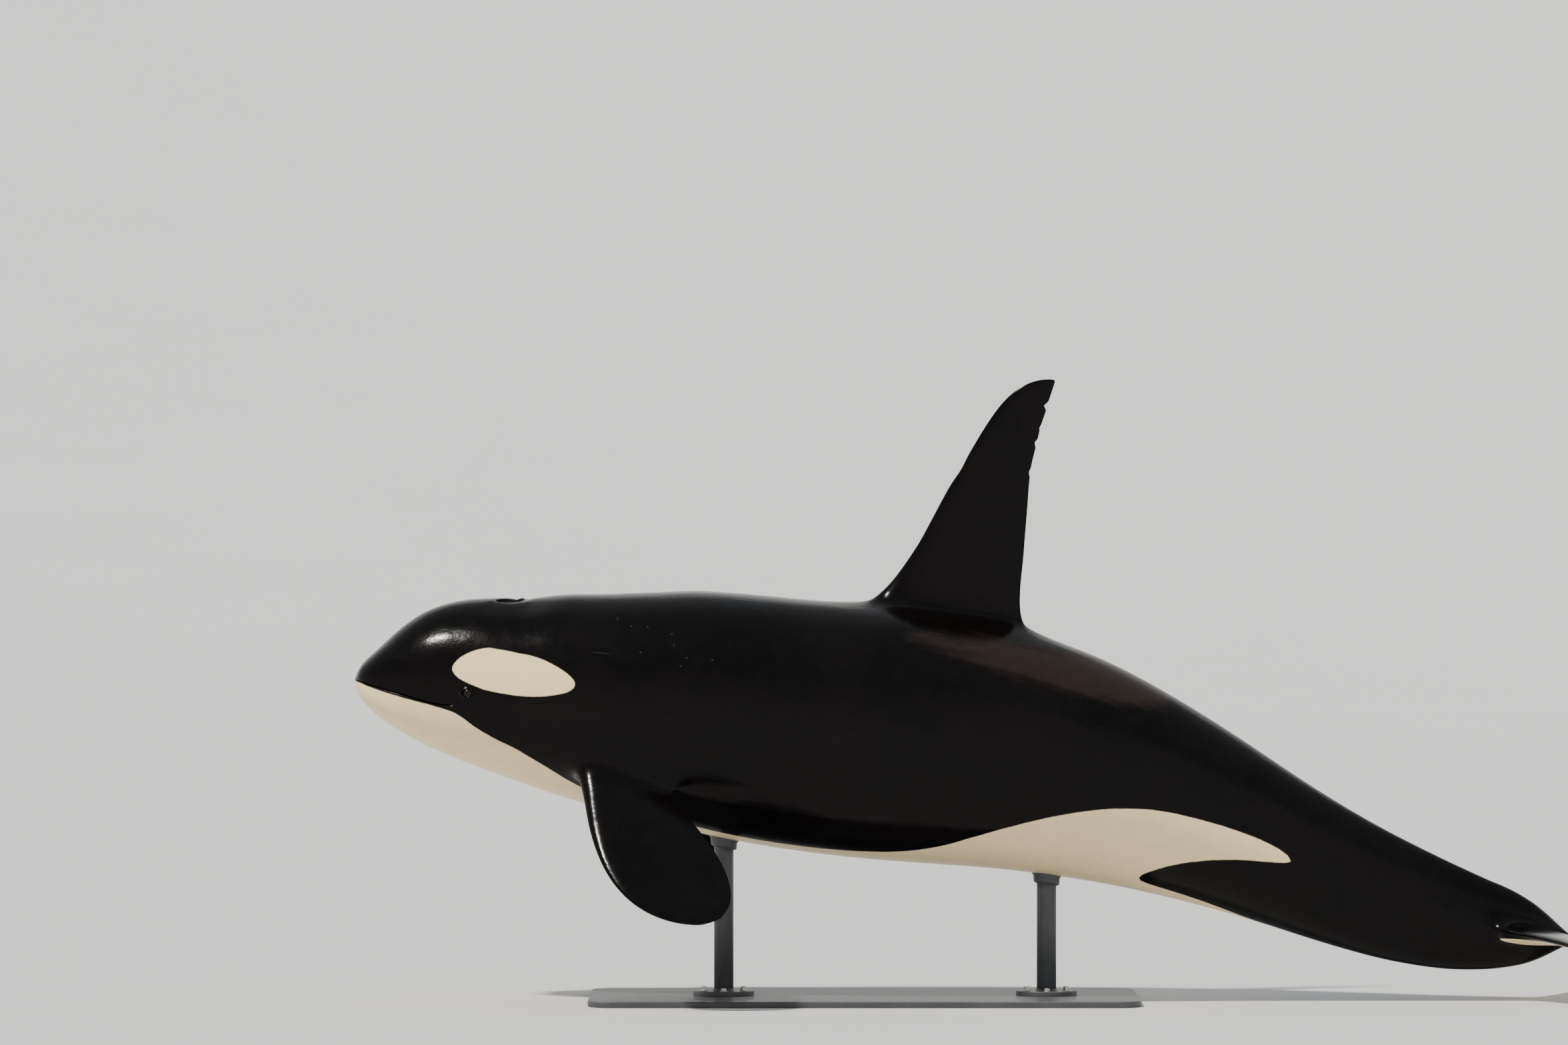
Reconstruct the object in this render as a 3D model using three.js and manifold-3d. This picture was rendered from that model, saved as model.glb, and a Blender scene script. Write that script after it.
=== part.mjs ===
// A life-size model of a young male orca that swims at the surface, on a plain display stand.
// Millimetres, +Z up, the nose towards -X and the left side towards -Y.
// The origin is on the floor, under the middle of the model.
import * as THREE from "three";
import { mergeVertices } from "three/addons/utils/BufferGeometryUtils.js";
import Module from "manifold-3d";

const wasm = await Module();
wasm.setup();

// Driving sizes
const bodyLength = 6300; // along the spine, snout to the trailing edge of the flukes
const snoutHeight = 1580; // above the floor
const gap = 0.3; // between pieces that touch
const columns = 32; // corners of a ring round the body
const degree = Math.PI / 180;

// The body, straight: fractions of its length. back and belly are measured up and down from the axis,
// flank is the half width, belt the height of the widest point, and crown and keel say how full the
// upper and the lower half of a ring are: 2 is an ellipse, less is sharper.
const profile = [
  { at: 0.0006, back: 0.0045, belly: 0.0038, flank: 0.0085, belt: 0.0, crown: 2.0, keel: 2.0 },
  { at: 0.003, back: 0.0108, belly: 0.0085, flank: 0.0172, belt: 0.0, crown: 2.2, keel: 2.1 },
  { at: 0.007, back: 0.0168, belly: 0.0139, flank: 0.0232, belt: 0.0, crown: 2.2, keel: 2.2 },
  { at: 0.012, back: 0.0225, belly: 0.0189, flank: 0.0281, belt: -0.0005, crown: 2.2, keel: 2.3 },
  { at: 0.018, back: 0.0294, belly: 0.0238, flank: 0.0323, belt: -0.001, crown: 2.15, keel: 2.3 },
  { at: 0.026, back: 0.0388, belly: 0.029, flank: 0.0371, belt: -0.0015, crown: 2.1, keel: 2.3 },
  { at: 0.036, back: 0.049, belly: 0.0341, flank: 0.0423, belt: -0.002, crown: 2.1, keel: 2.3 },
  { at: 0.048, back: 0.0586, belly: 0.0393, flank: 0.0474, belt: -0.002, crown: 2.1, keel: 2.3 },
  { at: 0.062, back: 0.0661, belly: 0.0447, flank: 0.0521, belt: -0.002, crown: 2.1, keel: 2.25 },
  { at: 0.08, back: 0.072, belly: 0.0505, flank: 0.0573, belt: -0.002, crown: 2.1, keel: 2.2 },
  { at: 0.1, back: 0.0757, belly: 0.056, flank: 0.0625, belt: -0.001, crown: 2.1, keel: 2.15 },
  { at: 0.115, back: 0.077, belly: 0.0599, flank: 0.066, belt: 0.0, crown: 2.1, keel: 2.15 },
  { at: 0.13, back: 0.0787, belly: 0.0635, flank: 0.0695, belt: 0.0, crown: 2.1, keel: 2.1 },
  { at: 0.15, back: 0.0835, belly: 0.0683, flank: 0.0735, belt: 0.0, crown: 2.1, keel: 2.1 },
  { at: 0.185, back: 0.088, belly: 0.0755, flank: 0.0785, belt: 0.0, crown: 2.1, keel: 2.1 },
  { at: 0.22, back: 0.0929, belly: 0.0815, flank: 0.083, belt: 0.001, crown: 2.1, keel: 2.1 },
  { at: 0.26, back: 0.0985, belly: 0.087, flank: 0.0865, belt: 0.002, crown: 2.1, keel: 2.1 },
  { at: 0.3, back: 0.1003, belly: 0.0915, flank: 0.089, belt: 0.002, crown: 2.1, keel: 2.1 },
  { at: 0.35, back: 0.1012, belly: 0.0945, flank: 0.09, belt: 0.002, crown: 2.05, keel: 2.1 },
  { at: 0.4, back: 0.1035, belly: 0.095, flank: 0.089, belt: 0.002, crown: 2.0, keel: 2.1 },
  { at: 0.45, back: 0.1035, belly: 0.093, flank: 0.086, belt: 0.002, crown: 1.95, keel: 2.05 },
  { at: 0.5, back: 0.101, belly: 0.089, flank: 0.081, belt: 0.001, crown: 1.9, keel: 2.0 },
  { at: 0.56, back: 0.0935, belly: 0.082, flank: 0.073, belt: 0.0, crown: 1.85, keel: 1.95 },
  { at: 0.62, back: 0.083, belly: 0.0725, flank: 0.0625, belt: 0.0, crown: 1.8, keel: 1.85 },
  { at: 0.68, back: 0.0715, belly: 0.063, flank: 0.0515, belt: 0.0, crown: 1.75, keel: 1.75 },
  { at: 0.74, back: 0.06, belly: 0.055, flank: 0.0405, belt: 0.0, crown: 1.7, keel: 1.65 },
  { at: 0.8, back: 0.051, belly: 0.05, flank: 0.031, belt: 0.0, crown: 1.65, keel: 1.6 },
  { at: 0.85, back: 0.0445, belly: 0.0455, flank: 0.024, belt: 0.0, crown: 1.65, keel: 1.6 },
  { at: 0.9, back: 0.0365, belly: 0.0375, flank: 0.018, belt: 0.0, crown: 1.7, keel: 1.7 },
  { at: 0.93, back: 0.03, belly: 0.0295, flank: 0.015, belt: 0.0, crown: 1.8, keel: 1.8 },
  { at: 0.95, back: 0.0215, belly: 0.0215, flank: 0.0125, belt: 0.0, crown: 1.9, keel: 1.9 },
  { at: 0.963, back: 0.0132, belly: 0.0132, flank: 0.0085, belt: 0.0, crown: 2.0, keel: 2.0 },
  { at: 0.974, back: 0.0055, belly: 0.0055, flank: 0.0035, belt: 0.0, crown: 2.0, keel: 2.0 },
];

// How far the nose side points up, in degrees, along the body: the back arches behind the dorsal fin.
const posture = [
  { at: 0, tilt: 6.3 },
  { at: 0.3, tilt: 6.3 },
  { at: 0.36, tilt: 6.5 },
  { at: 0.42, tilt: 7.1 },
  { at: 0.46, tilt: 8.2 },
  { at: 0.52, tilt: 12.5 },
  { at: 0.56, tilt: 16.5 },
  { at: 0.62, tilt: 20.5 },
  { at: 0.7, tilt: 23 },
  { at: 0.78, tilt: 22 },
  { at: 0.86, tilt: 17 },
  { at: 0.93, tilt: 10 },
  { at: 1, tilt: 7 },
];

// A smooth curve through one value of the rows, read at any place along the body.
function curve(rows, key, place = "at") {
  const x = rows.map((row) => row[place]);
  const y = rows.map((row) => row[key]);
  const rise = x.slice(1).map((v, i) => (y[i + 1] - y[i]) / (v - x[i]));
  const slope = x.map((v, i) => {
    if (i === 0) return rise[0];
    if (i === x.length - 1) return rise[i - 1];
    return (rise[i] * (v - x[i - 1]) + rise[i - 1] * (x[i + 1] - v)) / (x[i + 1] - x[i - 1]);
  });
  return (at) => {
    let i = 0;
    while (i < x.length - 2 && at > x[i + 1]) i++;
    const span = x[i + 1] - x[i];
    const t = THREE.MathUtils.clamp((at - x[i]) / span, 0, 1);
    const s = 1 - t;
    return (
      y[i] * s * s * (1 + 2 * t) +
      y[i + 1] * t * t * (3 - 2 * t) +
      span * s * t * (slope[i] * s - slope[i + 1] * t)
    );
  };
}

const back = curve(profile, "back");
const belly = curve(profile, "belly");
const flank = curve(profile, "flank");
const belt = curve(profile, "belt");
const crown = curve(profile, "crown");
const keel = curve(profile, "keel");
const tilt = curve(posture, "tilt");

// The spine, drawn from the snout in short steps.
const spineSteps = 1000;
const spine = [new THREE.Vector3(0, 0, snoutHeight)];
for (let i = 0; i < spineSteps; i++) {
  const angle = tilt((i + 0.5) / spineSteps) * degree;
  const step = bodyLength / spineSteps;
  spine.push(spine[i].clone().add(new THREE.Vector3(step * Math.cos(angle), 0, -step * Math.sin(angle))));
}

// A point of the straight body, in millimetres off the axis, placed on the bent one.
function bend(at, side, height) {
  const place = THREE.MathUtils.clamp(at, 0, 1) * spineSteps;
  const i = Math.min(Math.floor(place), spineSteps - 1);
  const angle = tilt(at) * degree;
  const ahead = Math.min(at, 0) * bodyLength;
  return spine[i]
    .clone()
    .lerp(spine[i + 1], place - i)
    .add(new THREE.Vector3(
      height * Math.sin(angle) + ahead * Math.cos(angle),
      side,
      height * Math.cos(angle) - ahead * Math.sin(angle),
    ));
}

// Turns a direction of the straight body as the body is turned at one place.
const turned = (at, direction) => direction.clone().applyAxisAngle(new THREE.Vector3(0, 1, 0), tilt(at) * degree);

// The mouth, as fractions of the body length
const mouthCorner = 0.081;
const mouthLine = curve(
  [
    { at: 0, height: 0.0008 },
    { at: 0.02, height: -0.0024 },
    { at: 0.045, height: -0.0066 },
    { at: 0.068, height: -0.0098 },
    { at: mouthCorner, height: -0.0096 },
  ],
  "height",
);
const lipWidth = 0.0026; // from the line of the mouth to the edge of each lip
const lipDepth = 0.0022; // how far the line lies below the skin
const mouthColumn = 9; // counted from the top of a ring, on either side

// The angle from the top of a ring at which its outline has a height.
function angleAt(at, height) {
  const middle = belt(at);
  if (height >= middle) {
    const share = Math.min(1, (height - middle) / (back(at) - middle));
    return Math.acos(share ** (crown(at) / 2));
  }
  const share = Math.min(1, (middle - height) / (belly(at) + middle));
  return Math.PI - Math.acos(share ** (keel(at) / 2));
}

// One corner of a ring of the straight body: x is the half width there and y the height.
function outline(at, angle, grow = 0) {
  const c = Math.cos(angle);
  const power = 2 / (c >= 0 ? crown(at) : keel(at));
  const reach = (c >= 0 ? back(at) - belt(at) : belly(at) + belt(at)) * bodyLength + grow;
  return new THREE.Vector2(
    (flank(at) * bodyLength + grow) * Math.abs(Math.sin(angle)) ** power,
    belt(at) * bodyLength + Math.sign(c) * reach * Math.abs(c) ** power,
  );
}

// The angles of a ring's columns on one side, from the back to the belly. In the head three of them
// follow the line of the mouth, and behind it they ease into even steps.
function columnAngles(at) {
  const half = columns / 2;
  const ease = THREE.MathUtils.smoothstep(at, mouthCorner, mouthCorner + 0.1);
  const spread = Math.min(1, at / 0.006);
  const line = mouthLine(Math.min(at, mouthCorner));
  const upper = angleAt(at, line + lipWidth * spread);
  const middle = angleAt(at, line);
  const lower = angleAt(at, line - lipWidth * spread);
  return Array.from({ length: half + 1 }, (_, j) => {
    const even = (Math.PI * j) / half;
    let angle = middle;
    if (j < mouthColumn) angle = (upper * j) / (mouthColumn - 1);
    if (j > mouthColumn) {
      angle = THREE.MathUtils.lerp(lower, Math.PI, (j - mouthColumn - 1) / (half - mouthColumn - 1));
    }
    return THREE.MathUtils.lerp(angle, even, ease);
  });
}

// A closed ring of the bent body, from the back down the left side and up the right one.
function ring(at, grow = 0) {
  const half = columns / 2;
  const fade = 1 - THREE.MathUtils.smoothstep(at, mouthCorner * 0.85, mouthCorner * 1.08);
  const start = THREE.MathUtils.smoothstep(at, 0, 0.01);
  const side = columnAngles(at).map((angle, j) => {
    const point = outline(at, angle, grow);
    if (j === mouthColumn) point.x -= lipDepth * bodyLength * fade * start;
    return point;
  });
  return Array.from({ length: columns }, (_, i) => {
    const j = i <= half ? i : columns - i;
    const sign = i <= half ? -1 : 1;
    return bend(at, sign * side[j].x, side[j].y);
  });
}

// A closed solid through rings of the same number of points, which run anticlockwise seen from its
// far end. Each end is closed onto its middle, or onto a tip.
function loft(rings, { first, last } = {}) {
  const count = rings[0].length;
  const middle = (points) => points.reduce((sum, p) => sum.add(p), new THREE.Vector3()).divideScalar(count);
  const ends = [first ?? middle(rings[0]), last ?? middle(rings.at(-1))];
  const points = [...rings.flat(), ...ends];
  const faces = [];
  for (let j = 0; j < count; j++) {
    const next = (j + 1) % count;
    for (let i = 0; i + 1 < rings.length; i++) {
      const [a, b] = [i * count + j, i * count + next];
      faces.push(a, b, b + count, a, b + count, a + count);
    }
    const end = (rings.length - 1) * count;
    faces.push(points.length - 2, next, j, points.length - 1, end + j, end + next);
  }
  const geometry = new THREE.BufferGeometry();
  geometry.setAttribute("position", new THREE.Float32BufferAttribute(points.flatMap((p) => [p.x, p.y, p.z]), 3));
  geometry.setIndex(faces);
  return geometry;
}

function toSolid(geometry) {
  const bare = geometry.clone();
  for (const name of Object.keys(bare.attributes)) {
    if (name !== "position") bare.deleteAttribute(name);
  }
  const merged = mergeVertices(bare, 1e-3);
  return new wasm.Manifold(
    new wasm.Mesh({
      numProp: 3,
      vertProperties: merged.attributes.position.array,
      triVerts: new Uint32Array(merged.index.array),
    }),
  );
}

// The largest closed surface of a solid, as a geometry.
function toGeometry(solid) {
  const largest = solid.decompose().reduce((best, piece) => (piece.volume() > best.volume() ? piece : best));
  const mesh = largest.getMesh();
  const geometry = new THREE.BufferGeometry();
  geometry.setAttribute("position", new THREE.BufferAttribute(mesh.vertProperties, 3));
  geometry.setIndex(new THREE.BufferAttribute(mesh.triVerts, 1));
  return geometry;
}

// Finishes, as the real colours
const paints = {
  skinBlack: { color: 0x0b0b0d, roughness: 0.3, metalness: 0 },
  skinWhite: { color: 0xe9e4d6, roughness: 0.35, metalness: 0 },
  eyeDark: { color: 0x120c08, roughness: 0.1, metalness: 0 },
  steelPaint: { color: 0x3a3d40, roughness: 0.5, metalness: 0.4 },
};
const finishes = Object.fromEntries(
  Object.entries(paints).map(([name, look]) => [name, new THREE.MeshStandardMaterial(look)]),
);

const model = new THREE.Group();
function add(name, geometry, finish) {
  const mesh = new THREE.Mesh(geometry, finishes[finish]);
  mesh.name = name;
  model.add(mesh);
  return mesh;
}

// Where the rings stand: close at the snout and the tail, wider on the trunk.
const stations = [
  0.0006, 0.003, 0.007, 0.012, 0.018, 0.026, 0.036, 0.047, 0.058, 0.07, 0.081, 0.092, 0.102, 0.109, 0.115,
  0.122, 0.135, 0.155, 0.178, 0.2, 0.222, 0.245, 0.27, 0.3, 0.33, 0.36, 0.385, 0.41, 0.435, 0.46, 0.485, 0.51,
  0.535, 0.56, 0.59, 0.62, 0.65, 0.68, 0.71, 0.74, 0.77, 0.8, 0.825, 0.85, 0.875, 0.895, 0.912, 0.928, 0.942,
  0.954, 0.963, 0.969, 0.974,
];

// A length of the body from one place to another, which are both stations.
function bodyLoft(from, to, { grow = 0, inset = gap / 2 } = {}) {
  const share = inset / bodyLength;
  const places = stations.filter((at) => at >= from - 1e-9 && at <= to + 1e-9);
  if (from > stations[0]) places[0] += share;
  if (to < stations.at(-1) || inset < 0) places[places.length - 1] -= share;
  const first = from <= stations[0] ? bend(0, 0, mouthLine(0) * bodyLength) : undefined;
  return loft(places.map((at) => ring(at, grow)), { first });
}

// The body a gap larger, to cut away from whatever grows out of it.
const clearOf = (from, to) => toSolid(bodyLoft(from, to, { grow: gap, inset: -gap }));

// A foil section across a fin: lead and trail are its edges along the chord, thick its greatest
// thickness. It runs anticlockwise seen from the tip of a fin whose chord, side and span are right-handed.
const foilPoints = 24;
const edgeThickness = 5;
function foil({ lead, trail, thick }, place) {
  return Array.from({ length: foilPoints }, (_, k) => {
    const angle = (k * 2 * Math.PI) / foilPoints;
    const c = (1 - Math.cos(angle)) / 2;
    const shape = 10 * (0.2969 * Math.sqrt(c) - 0.126 * c - 0.3516 * c ** 2 + 0.2843 * c ** 3 - 0.1036 * c ** 4);
    const edge = Math.min(edgeThickness, thick / 2) * Math.sin(angle) ** 2;
    const half = ((thick - edge) * shape + edge) / 2;
    return place(THREE.MathUtils.lerp(lead, trail, c), -Math.sign(Math.sin(angle)) * half);
  });
}

// Head and lower jaw
const headEnd = 0.155;
const throatEnd = 0.1; // where the jaw's cut reaches the throat

// The space of the lower jaw, side to side through the head, with its upper and rear faces moved in.
function jawSpace(inset) {
  const steps = 16;
  const reach = 700; // past the head on either side
  const line = Array.from({ length: steps + 1 }, (_, i) => {
    const at = THREE.MathUtils.lerp(-0.02, mouthCorner, i / steps);
    return bend(at, 0, mouthLine(Math.max(at, 0)) * bodyLength - inset);
  });
  const share = inset / bodyLength;
  const corners = [...line, bend(throatEnd - share, 0, -0.09 * bodyLength), bend(-0.02, 0, -0.09 * bodyLength)];
  line[steps].x -= inset;
  const shape = new THREE.Shape(corners.map((p) => new THREE.Vector2(p.x, p.z)));
  const slab = new THREE.ExtrudeGeometry(shape, { depth: 2 * reach, bevelEnabled: false });
  slab.rotateX(Math.PI / 2).translate(0, reach, 0);
  return toSolid(slab);
}

// A point on the skin of the left side, with the direction that the skin faces.
function skinAt(at, height) {
  const on = (place, h) => bend(place, -outline(place, angleAt(place, h / bodyLength)).x, h);
  const step = 0.004;
  const h = height * bodyLength;
  const aft = on(at + step, h).sub(on(at - step, h));
  const up = on(at, h + step * bodyLength).sub(on(at, h - step * bodyLength));
  return { point: on(at, h), facing: aft.cross(up).normalize() };
}

// Eye: a ball in the head, between two lids that stand up round it as one almond rim
const eye = { at: 0.0905, height: 0.0012, radius: 31, sunk: 23, rimLong: 34, rimHigh: 22, rimThick: 7.5 };
const eyeSpot = skinAt(eye.at, eye.height);

function eyeBall(radius) {
  const ball = new THREE.SphereGeometry(radius, 20, 14);
  const middle = eyeSpot.point.clone().addScaledVector(eyeSpot.facing, -eye.sunk);
  return ball.translate(middle.x, middle.y, middle.z);
}

function eyeRim() {
  const rim = new THREE.TorusGeometry(eye.rimLong, eye.rimThick, 8, 22);
  rim.scale(1, eye.rimHigh / eye.rimLong, 1);
  const turn = new THREE.Matrix4().lookAt(new THREE.Vector3(), eyeSpot.facing.clone().negate(), new THREE.Vector3(0, 0, 1));
  turn.setPosition(eyeSpot.point.clone().addScaledVector(eyeSpot.facing, -2));
  return rim.applyMatrix4(turn);
}

const mirrored = (solid) => solid.mirror([0, 1, 0]);

// Blowhole: a crescent slit on top of the head, open for a breath, its horns forward
const blowhole = { at: 0.1235, long: 112, wide: 80, sweep: 104, slit: 20, depth: 60 };

function blowholeSlit() {
  const { long, wide, sweep, slit, depth } = blowhole;
  const shape = new THREE.Shape();
  shape.absellipse(0, 0, long, wide, -sweep * degree, sweep * degree, false);
  shape.absellipse(0, 0, long - slit, wide - slit / 2, sweep * degree, -sweep * degree, true);
  const cut = new THREE.ExtrudeGeometry(shape, { depth: 3 * depth, bevelEnabled: false, curveSegments: 16 });
  cut.translate(-long, 0, -depth);
  const top = bend(blowhole.at, 0, back(blowhole.at) * bodyLength);
  return cut.rotateY(tilt(blowhole.at) * degree).translate(top.x, top.y, top.z);
}

function buildHead() {
  let head = toSolid(bodyLoft(stations[0], headEnd));
  const rim = toSolid(eyeRim());
  const socket = toSolid(eyeBall(eye.radius + gap));
  const jaw = head.intersect(jawSpace(gap / 2));
  head = head.subtract(jawSpace(-gap / 2));
  head = head.subtract(toSolid(blowholeSlit()));
  head = head.add(rim).add(mirrored(rim)).subtract(socket).subtract(mirrored(socket));
  const ball = toSolid(eyeBall(eye.radius));
  add("head", toGeometry(head), "skinBlack");
  add("lower_jaw", toGeometry(jaw), "skinWhite");
  add("eye_left", toGeometry(ball), "eyeDark");
  add("eye_right", toGeometry(mirrored(ball)), "eyeDark");
}

// Trunk and tail stock, cut across the spine
const lengths = [
  { name: "chest", from: headEnd, to: 0.3 },
  { name: "midbody", from: 0.3, to: 0.51 },
  { name: "loin", from: 0.51, to: 0.71 },
  { name: "tail_stock", from: 0.71, to: stations.at(-1) },
];

// Dorsal fin, in millimetres from where its leading edge leaves the back: high up, lead and trail aft
const finFront = 0.395;
const finRise = 31; // of that point above the smooth back
const finShape = [
  { high: -262, lead: -270, trail: 1015, thick: 230 },
  { high: -215, lead: -260, trail: 906, thick: 188 },
  { high: -190, lead: -250, trail: 853, thick: 168 },
  { high: -166, lead: -245, trail: 806, thick: 152 },
  { high: -131, lead: -240, trail: 757, thick: 138 },
  { high: -95, lead: -235, trail: 736, thick: 128 },
  { high: -50, lead: -230, trail: 729, thick: 119 },
  { high: -24, lead: -215, trail: 728, thick: 114 },
  { high: -16, lead: -133, trail: 727, thick: 111 },
  { high: -8, lead: -62, trail: 727, thick: 108 },
  { high: 3, lead: -2, trail: 727, thick: 105 },
  { high: 36, lead: 46, trail: 727, thick: 100 },
  { high: 79, lead: 89, trail: 730, thick: 95 },
  { high: 121, lead: 122, trail: 733, thick: 91 },
  { high: 207, lead: 184, trail: 742, thick: 84 },
  { high: 292, lead: 239, trail: 748, thick: 78 },
  { high: 377, lead: 284, trail: 755, thick: 71 },
  { high: 462, lead: 330, trail: 762, thick: 65 },
  { high: 548, lead: 377, trail: 768, thick: 59 },
  { high: 591, lead: 404, trail: 772, thick: 55 },
  { high: 633, lead: 434, trail: 777, thick: 52 },
  { high: 676, lead: 455, trail: 786, thick: 49 },
  { high: 761, lead: 503, trail: 807, thick: 43 },
  { high: 846, lead: 555, trail: 827, thick: 36 },
  { high: 932, lead: 615, trail: 856, thick: 29 },
  { high: 974, lead: 651, trail: 867, thick: 25 },
  { high: 1017, lead: 699, trail: 882, thick: 21 },
  { high: 1047, lead: 747, trail: 891, thick: 17 },
  { high: 1062, lead: 782, trail: 895, thick: 13 },
  { high: 1073, lead: 826, trail: 892, thick: 9 },
];
// Old nicks in the trailing edge: how high, how deep and how tall they are
const nicks = [
  { high: 946, deep: 17, tall: 13 },
  { high: 762, deep: 13, tall: 11 },
  { high: 618, deep: 8, tall: 12 },
  { high: 838, deep: 5, tall: 10 },
];

function buildDorsalFin() {
  const lead = curve(finShape, "lead", "high");
  const trail = curve(finShape, "trail", "high");
  const thick = curve(finShape, "thick", "high");
  const nickSteps = nicks.flatMap(({ high, tall }) => [high - 2 * tall, high - tall, high, high + tall, high + 2 * tall]);
  const levels = [...new Set([...finShape.map((row) => row.high), ...nickSteps])].sort((a, b) => a - b);
  const spaced = levels.filter((high, i) => i === 0 || high - levels[i - 1] > 4);
  const origin = bend(finFront, 0, back(finFront) * bodyLength).add(new THREE.Vector3(0, 0, finRise));
  const rings = spaced.map((high) => {
    const bite = nicks.reduce((sum, nick) => sum + nick.deep * Math.exp(-(((high - nick.high) / nick.tall) ** 2)), 0);
    const row = { lead: lead(high), trail: trail(high) - bite, thick: thick(high) };
    return foil(row, (along, side) => new THREE.Vector3(origin.x + along, side, origin.z + high));
  });
  const fin = toSolid(loft(rings)).subtract(clearOf(0.33, 0.62));
  add("dorsal_fin", toGeometry(fin), "skinBlack");
}

// Flipper: out from the shoulder, with lead forward and trail aft of the line down its middle
const shoulder = { at: 0.208, side: 0.06, height: -0.045, sweep: 38, droop: 42 };
const flipperShape = [
  { out: -170, lead: -172, trail: 178, thick: 128 },
  { out: -40, lead: -172, trail: 178, thick: 120 },
  { out: 60, lead: -185, trail: 182, thick: 108 },
  { out: 180, lead: -212, trail: 198, thick: 96 },
  { out: 320, lead: -243, trail: 225, thick: 82 },
  { out: 470, lead: -262, trail: 254, thick: 69 },
  { out: 620, lead: -262, trail: 277, thick: 57 },
  { out: 760, lead: -232, trail: 283, thick: 45 },
  { out: 870, lead: -178, trail: 268, thick: 34 },
  { out: 955, lead: -102, trail: 232, thick: 25 },
  { out: 1010, lead: -22, trail: 184, thick: 17 },
  { out: 1036, lead: 40, trail: 140, thick: 10 },
];

function buildFlippers() {
  const { at, sweep, droop } = shoulder;
  const outward = Math.cos(droop * degree) * Math.cos(sweep * degree);
  const aftward = Math.cos(droop * degree) * Math.sin(sweep * degree);
  const span = turned(at, new THREE.Vector3(aftward, -outward, -Math.sin(droop * degree)));
  const chord = turned(at, new THREE.Vector3(1, 0, 0)).projectOnPlane(span).normalize();
  const normal = span.clone().cross(chord);
  const root = bend(at, -shoulder.side * bodyLength, shoulder.height * bodyLength);
  const rings = flipperShape.map((row) =>
    foil(row, (along, side) =>
      root.clone().addScaledVector(span, row.out).addScaledVector(chord, along).addScaledVector(normal, side),
    ),
  );
  const left = toSolid(loft(rings)).subtract(clearOf(0.135, 0.3));
  add("flipper_left", toGeometry(left), "skinBlack");
  add("flipper_right", toGeometry(mirrored(left)), "skinBlack");
}

// Flukes: out from the middle, with lead and trail aft of the notch, and lift above the spine
const notch = 0.9835;
const flukeShape = [
  { out: gap / 2, lead: -560, trail: -12, thick: 112, lift: 0 },
  { out: 22, lead: -548, trail: 8, thick: 112, lift: 0 },
  { out: 60, lead: -505, trail: 44, thick: 107, lift: 0 },
  { out: 105, lead: -448, trail: 70, thick: 93, lift: 1 },
  { out: 165, lead: -390, trail: 86, thick: 78, lift: 2 },
  { out: 260, lead: -326, trail: 89, thick: 62, lift: 4 },
  { out: 390, lead: -258, trail: 73, thick: 48, lift: 6 },
  { out: 530, lead: -190, trail: 55, thick: 37, lift: 4 },
  { out: 660, lead: -120, trail: 48, thick: 28, lift: -2 },
  { out: 770, lead: -50, trail: 54, thick: 20, lift: -11 },
  { out: 840, lead: 6, trail: 68, thick: 13, lift: -19 },
  { out: 882, lead: 50, trail: 86, thick: 8, lift: -25 },
];

function buildFlukes() {
  const chord = turned(notch, new THREE.Vector3(1, 0, 0));
  const up = turned(notch, new THREE.Vector3(0, 0, 1));
  const rings = flukeShape.map((row) => {
    const middle = bend(notch, -row.out, row.lift);
    return foil(row, (along, side) =>
      middle.clone().addScaledVector(chord, along).addScaledVector(up, side),
    );
  });
  const left = toSolid(loft(rings)).subtract(clearOf(0.85, stations.at(-1)));
  add("fluke_left", toGeometry(left), "skinBlack");
  add("fluke_right", toGeometry(mirrored(left)), "skinBlack");
}

// Stand: a steel plate with two posts, each bolted through a round foot
const base = { length: 2700, width: 1150, thick: 30, corner: 120, bevel: 6, at: 0.4 };
const post = { radius: 48, footRadius: 150, footThick: 22, places: [0.29, 0.545] };

function buildStand() {
  const plate = new THREE.Shape();
  const [x, y, r] = [base.length / 2 - base.bevel, base.width / 2 - base.bevel, base.corner - base.bevel];
  plate.absarc(x - r, y - r, r, 0, Math.PI / 2, false);
  plate.absarc(-x + r, y - r, r, Math.PI / 2, Math.PI, false);
  plate.absarc(-x + r, -y + r, r, Math.PI, 1.5 * Math.PI, false);
  plate.absarc(x - r, -y + r, r, 1.5 * Math.PI, 2 * Math.PI, false);
  const slab = new THREE.ExtrudeGeometry(plate, {
    depth: base.thick - 2 * base.bevel,
    bevelSize: base.bevel,
    bevelThickness: base.bevel,
    bevelSegments: 1,
    curveSegments: 6,
  });
  const middle = bend(base.at, 0, 0);
  slab.translate(middle.x, 0, base.bevel);
  add("stand_base", toGeometry(toSolid(slab)), "steelPaint");
  const body = clearOf(0.2, 0.65);
  post.places.forEach((at, i) => {
    const name = i === 0 ? "front" : "rear";
    const top = bend(at, 0, 0);
    const footTop = base.thick + gap + post.footThick;
    const footProfile = [
      new THREE.Vector2(0, 0),
      new THREE.Vector2(post.footRadius, 0),
      new THREE.Vector2(post.footRadius, post.footThick - 5),
      new THREE.Vector2(post.footRadius - 5, post.footThick),
      new THREE.Vector2(0, post.footThick),
    ];
    const foot = new THREE.LatheGeometry(footProfile, 32).rotateX(Math.PI / 2);
    foot.translate(top.x, 0, base.thick + gap);
    const length = top.z - footTop - gap;
    const rod = new THREE.CylinderGeometry(post.radius, post.radius, length, 24).rotateX(Math.PI / 2);
    rod.translate(top.x, 0, footTop + gap + length / 2);
    add(`stand_foot_${name}`, toGeometry(toSolid(foot)), "steelPaint");
    add(`stand_rod_${name}`, toGeometry(toSolid(rod).subtract(body)), "steelPaint");
  });
}

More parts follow.
